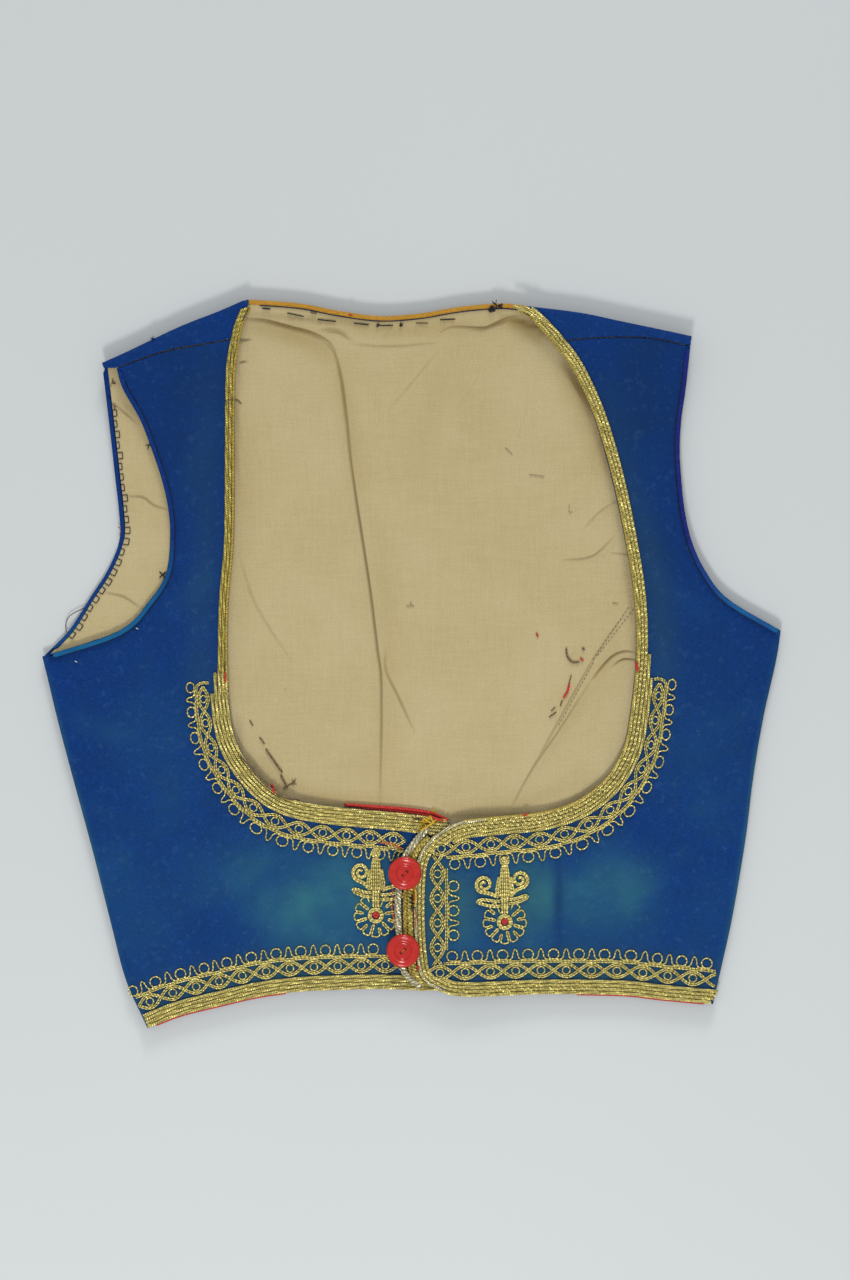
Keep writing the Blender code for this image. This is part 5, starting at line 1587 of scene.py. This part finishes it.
# %% Hanging flowers
PETALS, STEM_ANGLE = 11, 44.0
SPOKE_ASIDE, SPOKE_INNER, PETAL_OUT = 0.62, (5.7, 7.6), 12.9
SPOKE_START, TIP_BACK = 0.9, 1.5
PETAL_CURVE = ((0.2, 0.975), (0.5, 1.0), (0.8, 0.975))
PETAL_RADIUS, PETAL_STEP = 0.5, 0.7
SATIN_RINGS, SATIN_RADIUS = [(4.4, 0.6), (3.6, 0.7), (2.85, 0.6)], 0.5
KNOT_RADIUS, KNOT_LIFT, KNOT_TURN = 0.55, 0.75, 12

# Columns: side, rosette's centre x, y, stretch of the stem, mirrored or not, cloth.
FLOWERS = [("right", -21.3, -150.4, 1.05, -1, ON_RIGHT), ("left", 55.8, -154.2, 1.0, 1, ON_LEFT)]

# The stem's cords. Columns: height, distance between two cords.
INNER_CORDS = [(14.0, 1.0), (18.9, 1.3), (29.7, 1.12), (33.6, 0.75)]
OUTER_CORDS = [(15.4, 1.12), (18.9, 1.32), (21.6, 1.2), (27.0, 0.95)]
STEM_SIDE, STEM_INNER, STEM_RADIUS, STEM_LIFT = 4, 2, 0.62, 0.7
STRETCH_FROM, STEM_STEP, FINE_STEP = 14.5, 1.2, 0.9

# Three cords under the stem, the two that bind them, and the bud's rings above (radius, lift).
FOOT_CORDS, FOOT_FROM, FOOT_TO, FOOT_RADIUS, FOOT_LIFT = (-1.45, 0.0, 1.45), 14.6, 5.2, 0.72, 0.75
BINDS, BIND_SIDE, BIND_BOW, BIND_RADIUS, BIND_LIFT = (9.0, 13.6), 2.6, 0.2, 0.5, 1.3
BUD_RINGS, BUD_UP, BUD_RADIUS = ((2.4, 0.6), (1.35, 0.75), (0.4, 0.8)), 36.4, 0.58

# Scrolls: middle, which hand, then the stalk's points. Leaves: their points.
SCROLLS = [((9.0, 25.3), 1, (4.0, 15.4), (7.4, 18.6)),
           ((-12.3, 22.5), -1, (-4.0, 14.6), (-9.6, 16.6))]
SCROLL_FROM, SCROLL_SWEEP, SCROLL_POINTS = -60, 560, 56
SCROLL_OUT, SCROLL_IN, SCROLL_EASE = 5.5, 4.4, 1.15
SCROLL_CORDS, SCROLL_RADIUS, SCROLL_LIFT = (0.0, 1.15), 0.66, 0.6
LEAVES = [
    [(2.4, 11), (7, 11.6), (12, 13.6), (13.7, 15.3), (11.6, 15.6), (7, 14), (2.6, 13.6)],
    [(-2.4, 9.6), (-7, 9.4), (-13, 10.6), (-16.5, 12.1), (-13.2, 13.4), (-7, 12.6), (-2.6, 12.4)],
]
LEAF_RADIUS, LEAF_LIFT = 0.5, 0.6

print(len(FLOWERS), "flowers of", PETALS, "petals")

# %% [markdown]
# Every part of a flower is a list of cords, drawn round the rosette's middle. The function
# called on puts points on the cloth at the right place, so both flowers share these recipes.

# %% Drawing a flower
def scroll(middle, hand, away, *stalk):
    """A spiral that winds in to its middle. away is how far inside the outer one it lies."""
    share = np.linspace(0.0, 1.0, SCROLL_POINTS)
    turn = np.radians(SCROLL_FROM + SCROLL_SWEEP * share)
    radius = SCROLL_OUT - away - (SCROLL_IN - 0.7 * away) * share ** SCROLL_EASE
    spiral = np.column_stack([middle[0] + hand * radius * np.cos(turn),
                              middle[1] + radius * np.sin(turn)])
    return Line(np.vstack([np.array(stalk) + (-0.4 * away * hand, 0.9 * away), spiral]), bend=2)


def petals_line():
    """The one cord of all petals: out along a spoke, over a petal, and back along the next."""
    turn = (360 - STEM_ANGLE) / PETALS
    start = 90 + STEM_ANGLE / 2
    points = []

    def add(spoke, away, aside):
        angle = math.radians(start + turn * spoke)
        ahead = np.array([math.cos(angle), math.sin(angle)])
        points.append(away * ahead + aside * np.array([-ahead[1], ahead[0]]))

    for petal in range(PETALS):
        inner = SPOKE_INNER[petal % 2]
        add(petal, inner, 0.1)
        add(petal, inner + SPOKE_START, SPOKE_ASIDE)
        add(petal, PETAL_OUT - TIP_BACK, SPOKE_ASIDE)
        for share, away in PETAL_CURVE:
            add(petal + share, PETAL_OUT * away, 0.0)
        add(petal + 1, PETAL_OUT - TIP_BACK, -SPOKE_ASIDE)
        add(petal + 1, SPOKE_INNER[(petal + 1) % 2] + SPOKE_START, -SPOKE_ASIDE)
    return Line(points, bend=5)


def stem_rows(on):
    """The cords of the stem, its foot, its bud, the scrolls and the leaves."""
    drawn = []
    for column in range(-STEM_SIDE, STEM_SIDE + 1):
        table = INNER_CORDS if abs(column) <= STEM_INNER else OUTER_CORDS
        points = [(column * apart, up) for up, apart in table]
        drawn.append((Line(points).part(0, 1, STEM_STEP), STEM_LIFT, STEM_RADIUS))
    for across in FOOT_CORDS:
        line = Line([(across, FOOT_FROM), (across, FOOT_TO)])
        drawn.append((line.part(0, 1, STEM_STEP), FOOT_LIFT, FOOT_RADIUS))
    for up in BINDS:
        line = Line([(-BIND_SIDE, up), (0, up + BIND_BOW), (BIND_SIDE, up)])
        drawn.append((line.part(0, 1, FINE_STEP), BIND_LIFT, BIND_RADIUS))
    for radius, lift in BUD_RINGS:
        drawn.append((ring_arc(0, 360, 22, radius, (0.0, BUD_UP)), lift, BUD_RADIUS))
    for middle, hand, *stalk in SCROLLS:
        for away in SCROLL_CORDS:
            line = scroll(middle, hand, away, *stalk)
            drawn.append((line.part(0, 1, FINE_STEP), SCROLL_LIFT, SCROLL_RADIUS))
    rows = [(on(points, lift), radius, GOLD) for points, lift, radius in drawn]
    for leaf in LEAVES:
        route = on(Line(leaf).part(0, 1, FINE_STEP), LEAF_LIFT)
        rows += [(strand, LEAF_RADIUS, GOLD) for strand in paired(route, LEAF_RADIUS)]
    return rows


def rosette_rows(on):
    """The petals and the satin rings inside them."""
    rows = [(on(petals_line().part(0, 1, PETAL_STEP), PETAL_RADIUS), PETAL_RADIUS, GOLD)]
    for radius, lift in SATIN_RINGS:
        rows.append((on(ring_arc(0, 360, 32, radius, (0.0, 0.0)), lift), SATIN_RADIUS, GOLD))
    return rows


def knot_rows(on):
    """The red knot: one cord that winds in to the middle."""
    share = np.linspace(0.0, 1.0, 40)[:, None]
    ways = np.hstack([np.cos(KNOT_TURN * share), np.sin(KNOT_TURN * share)])
    return [(on(ways * (1.75 - 1.6 * share), KNOT_LIFT), KNOT_RADIUS, RED)]


print("a rosette's one cord is", round(petals_line().length), "mm long")

# %% [markdown]
# Both flowers are the same drawing, one of them mirrored. Its middle is the rosette's, and the
# stem is stretched a little where it has to reach further up to the border.

# %% Sewing on the flowers
# Columns: part of the flower, its rows, sides of a cord, slot.
FLOWER_PARTS = [("stem", stem_rows, 6, "gold_thread"), ("rosette", rosette_rows, 6, "gold_thread"),
                ("centre", knot_rows, 8, "red_thread")]


def flower(side, x, y, stretch, mirror, height):
    def on(points, lift):
        points = np.asarray(points, float) * (mirror, 1.0)
        tall = np.maximum(points[:, 1] - STRETCH_FROM, 0.0)
        points[:, 1] += tall * (stretch - 1.0)
        return laid(points + (x, y), height, TRIM_CLEAR + lift)

    for part, drawn, sides, slot in FLOWER_PARTS:
        trim("motif_" + part + "_" + side, "_cords", drawn(on), slot, sides)


for row in FLOWERS:
    flower(*row)

# %% [markdown]
# Thick cords edge the lapping front. The silver one stands off the edge and loops round
# the buttons' shanks. It is three strands wound round each other, and the dull gold one
# beside it is two.

# %% Edge cords
SILVER_HEIGHT, GOLD_HEIGHT, CORE_HEIGHT, ROPE_STEP = 8.15, 8.0, 7.2, 0.7
SILVER_ROUTE = [(9.9, -97.8), (3.3, -105), (-1.5, -111.6), (-5.1, -118.8), (-7.5, -132.6),
                (-8.1, -144.6), (-7.5, -159.6), (-5.1, -181.2), (-0.3, -188.4), (5.7, -192.6)]

# How far the other cords stand off the edge. Columns: share of the edge, distance.
GOLD_AWAY = [(0.0, -1.4), (0.15, -2.1), (0.85, -2.1), (1.0, -1.4)]
CORE_AWAY = [(0.0, -3.2), (0.2, -5.2), (0.8, -5.2), (1.0, -3.2)]

# Columns: strand's radius, distance from the middle, pitch, strands, flatness.
SILVER_ROPE, GOLD_ROPE, CORE_ROPE = ((0.92, 1.3, 6.4, 3, 0.6), (1.0, 1.05, 4.6, 2, 0.6),
                                     (0.8, 0.8, 4.0, 2, 0.7))


def level(plan, height):
    """Plan points, all at one height."""
    return np.column_stack([plan, np.full(len(plan), height)])


def rope(plan, height, shape, finish):
    """A cord of several strands, as rows for cords."""
    strand, *winding = shape
    return [(line, strand, finish) for line in wound(level(plan, height), *winding)]


silver_plan = Line(SILVER_ROUTE).part(0, 1, ROPE_STEP)
SILVER_CORDS = trim("loop_silver", "_cords",
                    rope(silver_plan, SILVER_HEIGHT, SILVER_ROPE, SILVER), "silver_thread", 8)
gold_plan = beside_by(LEFT["edge"], 0.02, 0.98, ROPE_STEP, GOLD_AWAY)
core_plan = beside_by(LEFT["edge"], 0.08, 0.94, ROPE_STEP, CORE_AWAY)
GOLD_CORDS = trim("loop_gold", "_cords", rope(gold_plan, GOLD_HEIGHT, GOLD_ROPE, DULL_GOLD)
                  + rope(core_plan, CORE_HEIGHT, CORE_ROPE, OLIVE), "gold_thread", 8)

# %% [markdown]
# The armholes are edged with a narrow roll of the same wool, with a dark groove where it is sewn
# down; on the fronts a navy thread laid in it gives the groove its painted shade. A flat band of
# ochre silk binds the back of the neck, with a navy thread under it for the dark line along its
# lower edge, which is partly dark stitching and partly painted shadow, and thin red piping shows
# under the hem.

# %% Rolled edges, binding and piping
# Columns: name, edge, first share, last share, radius of the roll, cloth, finish.
ARMHOLES = [
    ("front_right", RIGHT["armhole"], 0.01, 0.97, 1.35, ON_RIGHT, EDGE_BLUE),
    ("front_left", LEFT["armhole"].back(), 0.008, 0.99, 1.35, ON_LEFT, PURPLE),
    ("back_right", BACK_HOLE_RIGHT.back(), 0.1, 0.96, 1.25, ON_BACK, EDGE_BLUE),
    ("back_left", BACK_HOLE_LEFT, 0.04, 0.9, 1.5, ON_BACK, PURPLE),
]
ROLL_CLEAR, ROLL_SINK, ROLL_STEP = 0.2, 0.55, 2.0
GROOVE_RADIUS, GROOVE_CLEAR, GROOVE_LIFT, GROOVE_END, GROOVE_STEP = 0.32, 0.5, 0.1, 0.03, 1.6
AQUA_FROM, AQUA_FULL, AQUA_FRONT, AQUA_BACK = 75.0, 30.0, 0.8, 0.2

# Navy threads laid in the fronts' armhole grooves give the grooves their painted shade.
grooves = []
for name, line, first, last, radius, height, finish in ARMHOLES:
    roll = laid(line.beside(radius + ROLL_CLEAR).part(first, last, ROLL_STEP), height,
                ROLL_SINK * radius)
    item = trim("armhole_" + name, "_roll", [(roll, radius, finish)], "blue_wool", 12)
    on_front = name.startswith("front")
    _, y, _ = points_of(item).T
    shown = AQUA_FRONT if on_front else AQUA_BACK
    paint(item, fade=shown * np.clip((AQUA_FROM - y) / (AQUA_FROM - AQUA_FULL), 0, 1))
    if on_front:
        inside = line.beside(2 * radius + GROOVE_CLEAR)
        plan = inside.part(first + GROOVE_END, last - GROOVE_END, GROOVE_STEP)
        grooves.append((laid(plan, height, GROOVE_LIFT), GROOVE_RADIUS, NAVY))
cords("armhole_groove_shade", grooves, sides=5)

BAND_WIDE, BAND_TALL, BAND_INSIDE, BAND_LIFT = 1.7, 1.5, 1.5, 1.7
band_plan = BACK_NECK.beside(-BAND_INSIDE).part(0.0, 1.0, 0.9)
band = np.column_stack([band_plan, back_height(*band_plan.T) + BAND_LIFT])
NECK_BAND = trim("neck_binding", "_band", [(band, BAND_WIDE, OCHRE)], "ochre_cord", 14,
                 BAND_TALL / BAND_WIDE)
# A navy thread under the band gives the dark line along its lower edge: partly dark stitching,
# partly painted shadow.
under_plan = BACK_NECK.beside(-BAND_INSIDE - BAND_WIDE + 0.2).part(0.05, 0.97, 1.2)
cords("neck_band_shadow_and_thread", [(laid(under_plan, ON_LINING, 0.2), 0.35, NAVY)], sides=5)

# The piping stands out where it shows, beyond so many millimetres from the middle.
PIPING_Z, PIPING_RADIUS, PIPING_SHOWN, PIPING_HIDDEN = 2.6, 0.7, 0.4, -1.0
for name, hem, shows in (("right", RIGHT["hem"], 74.0), ("left", LEFT["hem"].back(), 98.0)):
    plan = hem.part(0.03, 0.97, 2.0)
    out = np.where(np.abs(plan[:, :1]) > shows, PIPING_SHOWN, PIPING_HIDDEN)
    away = -Line(plan, bend=1).left(np.linspace(0, 1, len(plan)))
    row = (level(plan + away * out, PIPING_Z), PIPING_RADIUS, RED)
    trim("piping_hem_" + name, "_cord", [row], "red_thread", 8)

# %% [markdown]
# The last of the hand work: running stitches under the neck band, the overcast edge of an armhole,
# tacks left in the lining, and loose ends where a thread has broken. Each stitch is a thin cord
# between given points. A tuft is a few hairs that curl from one place.

# %% Tables of stitches and loose threads
# Columns: finish, radius, then the points of each stitch.
STITCHES = [
    (BLACK, 0.45, [(-89.1, 212.6), (-84.3, 212.2)], [(-1.5, -139.2), (2.7, -140.4)],
     [(-1.5, -142.2), (3.3, -143.4)], [(-0.9, -145.8), (2.7, -145.2)]),
    (BLACK, 0.35, [(-74.3, 209.8), (-64.5, 207.8)], [(-18.7, 202.3), (-11, 202.4)]),
    (BROWN, 0.45, [(-60.3, 210.2), (-56.7, 209.6)]),
    (BLACK, 0.38, [(-56.1, 206), (-45.2, 204.8)], [(-34.5, 203.8), (-25.5, 202.8)],
     [(17.1, 205.8), (26.1, 206.2)]),
    (BROWN, 0.35, [(2.7, 203.8), (9.9, 203.8)], [(-96.9, -33.6), (-95, -37)],
     [(95.7, -6.6), (93.9, -13.2)], [(86.1, -25.8), (83.7, -28.2)], [(3.3, -92.4), (7.5, -94.2)]),
    (RED, 0.5, [(-37.5, 209), (-35.5, 208.4)], [(74.7, 18.6), (75.9, 16.2)]),
    (BROWN, 0.4, [(-90.9, -44), (-88, -48)], [(-77, -74.6), (-70, -70.6)],
     [(90.3, -21.6), (89.1, -25.2)], [(86.7, -28.8), (82.5, -31.8)]),
    (BROWN, 0.55, [(-87.3, -51), (-80.4, -60.9), (-77.4, -65)],
     [(92.7, 9.6), (93.3, 4.8), (96.3, 1.2), (100.5, 1.2)]),
    (BROWN, 0.6, [(-78.3, -66.6), (-74.4, -74)]),
    # A brown thread along the lower neck's edge: a dark line there that is partly dirt and partly
    # painted shadow under the braid.
    (BROWN, 0.5,
     [(-102.3, -54.6), (-95.7, -62.4), (-89.7, -69.6), (-78.9, -78.6), (-66.9, -81.6)]),
    (BROWN, 0.7, [(102.3, 9.6), (103.5, 8.4)]),
    (RED, 0.6, [(101.1, 3.6), (102.9, 1.8)], [(-111.3, -4.8), (-111.3, -10.8)],
     [(66.3, -90.6), (69.9, -89.4)]),
    (RED, 0.7, [(94.5, -12), (93.3, -16.8), (90.9, -20.4)], [(3.3, -179.4), (4.5, -182.4)]),
    (FAINT, 0.22, [(56.1, 129.6), (60.3, 125.4)], [(70.5, 113.4), (79.5, 112.2)],
     [(94.5, 95.4), (94.5, 90.6), (96.3, 91.2)]),
    (FAINT, 0.25, [(-3.3, 34.8), (1.5, 34.8)], [(-0.9, 37.2), (0.3, 34.8)],
     [(120.3, 36.6), (123.9, 36)], [(-110.1, 194.4), (-105.3, 192), (-99.9, 194.4)]),
    (RED, 0.9, [(134.1, 1.2), (135.3, -4.2)], [(-83.7, -72), (-81.9, -76.8)],
     [(-30, -86), (-12, -87.6), (6, -90), (19, -93.6)]),
    (BROWN, 0.3, [(-111.3, 157.2), (-105.3, 158.4), (-101.7, 156)],
     [(-195.3, 34.2), (-204.9, 28.8), (-207.3, 22.2), (-205.5, 16.2)]),
    (RED, 1.1, [(-39.9, -84.2), (-18.9, -85.6), (-1.5, -87), (11.1, -89), (21.5, -93.2)]),
    (YELLOW, 0.7, [(14.7, -93), (10.4, -96.6), (5.1, -99.6)], [(5.1, -195), (7.5, -195)]),
    (YELLOW, 0.6, [(7.5, -92.4), (11.1, -94.8)], [(11.1, -90.6), (13.5, -95.4)]),
    (ORANGE, 0.6, [(-18.9, -106.8), (-12, -107.5), (-5.7, -110.4)]),
    (ORANGE, 0.5, [(-11.1, -134.4), (-11.7, -144.6), (-10.5, -153), (-9.9, -158.4)],
     [(0.6, -132.5), (1.7, -138.6), (1.1, -144)]),
    (YELLOW, 0.55, [(1.7, -131.5), (2.7, -138), (2.3, -145)]),
    (ORANGE, 0.35, [(2.2, -146.5), (2.8, -152), (2.3, -157)]),
    (BLACK, 0.4, [(0.3, -137.4), (0.3, -147)], [(-150.9, 55.2), (-147.3, 51.6)],
     [(-147.3, 55.2), (-150.9, 51.6)], [(160.4, 145.8), (160.6, 144)]),
    (WHITE, 0.5, [(-164.7, 21.6), (-163.5, 21)], [(-201.3, 1.8), (-200.1, 1.2)]),
    (ORANGE, 0.25, [(-176.1, 82.8), (-174.3, 80.4), (-174.9, 77.4)]),
    (BLACK, 0.5, [(161, 150.6), (161, 148.2)]),
]

# Columns: finish, centre x, y, reach, hairs, their radius.
TUFTS = [
    (YELLOW, 12, -90.6, 3.6, 20, 0.34), (YELLOW, 7.5, -95, 3.4, 10, 0.3),
    (BROWN, 3, -92.5, 3.0, 8, 0.2), (BLACK, 48, 212.2, 2.2, 26, 0.42),
    (BLACK, 53.6, 213.8, 1.7, 16, 0.4), (BLACK, 50.5, 215, 3.0, 6, 0.25),
    (BLACK, -20.1, 202.4, 1.2, 10, 0.3), (BLACK, -6.2, 202.8, 1.2, 10, 0.34),
    (BROWN, -70.5, -70.8, 2.4, 6, 0.2), (BROWN, -179.1, 168, 2.6, 7, 0.2),
    (BROWN, -177.9, 154.2, 2.2, 6, 0.2), (NAVY, -157.5, 130.8, 2.4, 6, 0.2),
    (BLUE, -155.1, 195, 2.4, 8, 0.2), (RED, -75.9, -15.6, 0.4, 2, 0.2),
]
SEAM_DASHES = [((133, 33), (110.7, 4.2)), ((109, 1), (88, -37)), ((130, 34), (108, 1.5))]
print(sum(len(row) - 2 for row in STITCHES), "stitches and", len(TUFTS), "tufts")

# %% [markdown]
# Every stitch is laid over all that has been sewn so far. The lengths of the tufts' hairs and
# the depth of the hooked stitches differ a little by chance, from a fixed seed.

# %% Stitches and loose threads
DASH_PITCH, DASH_LONG, DASH_RADIUS = 2.6, 1.4, 0.18
HOOK_PITCH, HOOK_DEEP, HOOK_ALONG, HOOK_RADIUS = 6.4, 3.2, 3.8, 0.27
STITCH_CLEAR = 0.12
ON_TRIMS = height_over(FRONT_LEFT, FRONT_RIGHT, LINING, BACK, NECK_BAND, NECK_BRAID, LEFT_BRAID,
                       SILVER_CORDS, GOLD_CORDS)


def stitched(points, radius, finish, step=1.2, bend=5):
    """One thread through these points, laid over cloth and trims."""
    route = laid(Line(points, bend).part(0, 1, step), ON_TRIMS, radius + STITCH_CLEAR)
    return route, radius, finish


def tuft(finish, x, y, reach, count, radius, chance):
    """Hairs that curl away from one place."""
    made = []
    for _ in range(count):
        turn, curl = chance.uniform(0, 2 * math.pi), chance.uniform(-1.2, 1.2)
        points = [(x, y)]
        for part in (0.4, 0.8, 1.0):
            angle = turn + curl * part
            away = reach * part * chance.uniform(0.7, 1.1)
            points.append((x + away * math.cos(angle), y + away * math.sin(angle)))
        route = stitched(points, radius, finish, 0.7)[0]
        route[:, 2] += np.linspace(0.0, chance.uniform(0.2, 1.0), len(route))
        made.append((route, radius, finish))
    return made


def overcast(line, first, last, chance):
    """Hooked stitches over an edge."""
    made = []
    for share in np.arange(first, last, HOOK_PITCH / line.length):
        deep = HOOK_DEEP * chance.uniform(0.75, 1.2)
        on, ahead = line.at(share), line.at(share + HOOK_ALONG / line.length)
        side = line.left(share)
        made.append(stitched([on - side * 0.2, on + side * deep, ahead + side * deep,
                              ahead + side * 0.3], HOOK_RADIUS, BLACK, 0.5, 1))
    return made


chance = np.random.default_rng(7)
rows = []
for finish, radius, *routes in STITCHES:
    rows += [stitched(points, radius, finish) for points in routes]
for row in TUFTS:
    rows += tuft(*row, chance)
rows += overcast(BACK_HOLE_RIGHT.back().beside(2.2), 0.14, 0.9, chance)
for start, end in SEAM_DASHES:
    line = Line([start, end])
    for share in np.arange(0.0, 0.97, DASH_PITCH / line.length):
        dash = line.at(np.array([share, share + DASH_LONG / line.length]))
        rows.append(stitched(dash, DASH_RADIUS, BROWN))
cords("hand_stitches", rows, sides=5)

# %% [markdown]
# The buttons are turned red plastic: a raised ring round a sunken middle with two holes. A
# profile is spun round, and the holes are cut with a Boolean. One stitch of thread passes
# over the bridge between them.

# %% Buttons
# Columns: name, centre x, y, degrees that its holes are turned, thread.
BUTTONS = [("button_upper", -3.9, -124.8, 38, RED), ("button_lower", -5.0, -171.0, 42, ORANGE)]
BUTTON_RADIUS, BUTTON_BASE, BUTTON_HEIGHT = 10.0, 9.9, 3.6
BUTTON_STEPS, BUTTON_DISH = 56, 0.6
HOLE_AWAY, HOLE_RADIUS, HOLE_DEPTH, HOLE_SIDES = 1.6, 0.95, 3.0, 20
THREAD_RADIUS, THREAD_RISE, THREAD_SINK = 0.42, 0.45, 0.9
# Columns: share of the radius, share of the height.
BUTTON_PROFILE = [(0.0, 0.6), (0.3, 0.6), (0.42, 0.62), (0.5, 0.74), (0.55, 0.9), (0.62, 0.96),
                  (0.68, 0.9), (0.72, 0.88), (0.76, 0.94), (0.83, 1.0), (0.9, 0.94),
                  (0.96, 0.76), (0.995, 0.52), (0.99, 0.36), (0.93, 0.2), (0.8, 0.08), (0.0, 0.0)]


def turned_button(name, x, y):
    """The profile spun round at its place."""
    made = bmesh.new()
    made.loops.layers.uv.new("UVMap")
    line = Line([(away * BUTTON_RADIUS, up * BUTTON_HEIGHT) for away, up in BUTTON_PROFILE], 3)
    points = []
    for away, up in line.points:
        points.append(made.verts.new((max(away, 0.0) * MM, 0.0, up * MM)))
    edges = [made.edges.new(pair) for pair in zip(points, points[1:])]
    bmesh.ops.spin(made, geom=points + edges, cent=(0, 0, 0), axis=(0, 0, 1), dvec=(0, 0, 0),
                   angle=2 * math.pi, steps=BUTTON_STEPS, use_merge=True, use_duplicate=False)
    bmesh.ops.remove_doubles(made, verts=made.verts, dist=1e-6)
    bmesh.ops.recalc_face_normals(made, faces=made.faces)
    bmesh.ops.translate(made, verts=made.verts, vec=Vector((x, y, BUTTON_BASE)) * MM)
    return put(made, name, PLASTIC)


def cut_hole(item, place):
    """Cuts one round hole through the piece."""
    cutter = bmesh.new()
    bmesh.ops.create_cone(cutter, cap_ends=True, segments=HOLE_SIDES, radius1=HOLE_RADIUS * MM,
                          radius2=HOLE_RADIUS * MM, depth=HOLE_DEPTH * MM)
    bmesh.ops.translate(cutter, verts=cutter.verts, vec=place)
    hole = as_object(cutter, "hole")
    cut = item.modifiers.new("hole", "BOOLEAN")
    cut.object = hole
    cut.operation = "DIFFERENCE"
    bpy.context.view_layer.update()
    seen = bpy.context.evaluated_depsgraph_get()
    mesh = bpy.data.meshes.new_from_object(item.evaluated_get(seen))
    item.modifiers.clear()
    item.data = mesh
    bpy.data.objects.remove(hole, do_unlink=True)


def button(name, x, y, turned, thread):
    item = turned_button(name, x, y)
    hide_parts(name)
    middle = BUTTON_BASE + BUTTON_DISH * BUTTON_HEIGHT
    ahead = np.array([math.cos(math.radians(turned)), math.sin(math.radians(turned))])
    for side in (-HOLE_AWAY, HOLE_AWAY):
        cut_hole(item, Vector((x + side * ahead[0], y + side * ahead[1], middle)) * MM)
    item.data.set_sharp_from_angle(angle=SHARP_ANGLE)
    across = HOLE_AWAY * np.linspace(-1.0, 1.0, 9)[:, None]
    stitch = level((x, y) + ahead * across, middle)
    stitch[:, 2] += THREAD_RISE - THREAD_SINK * (across[:, 0] / HOLE_AWAY) ** 4
    cords(name + "_thread", [(stitch, THREAD_RADIUS, thread)], sides=8)


for row in BUTTONS:
    button(*row)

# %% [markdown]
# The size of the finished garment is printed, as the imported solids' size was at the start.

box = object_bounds()
print("visual box", [short(corner) for corner in box])
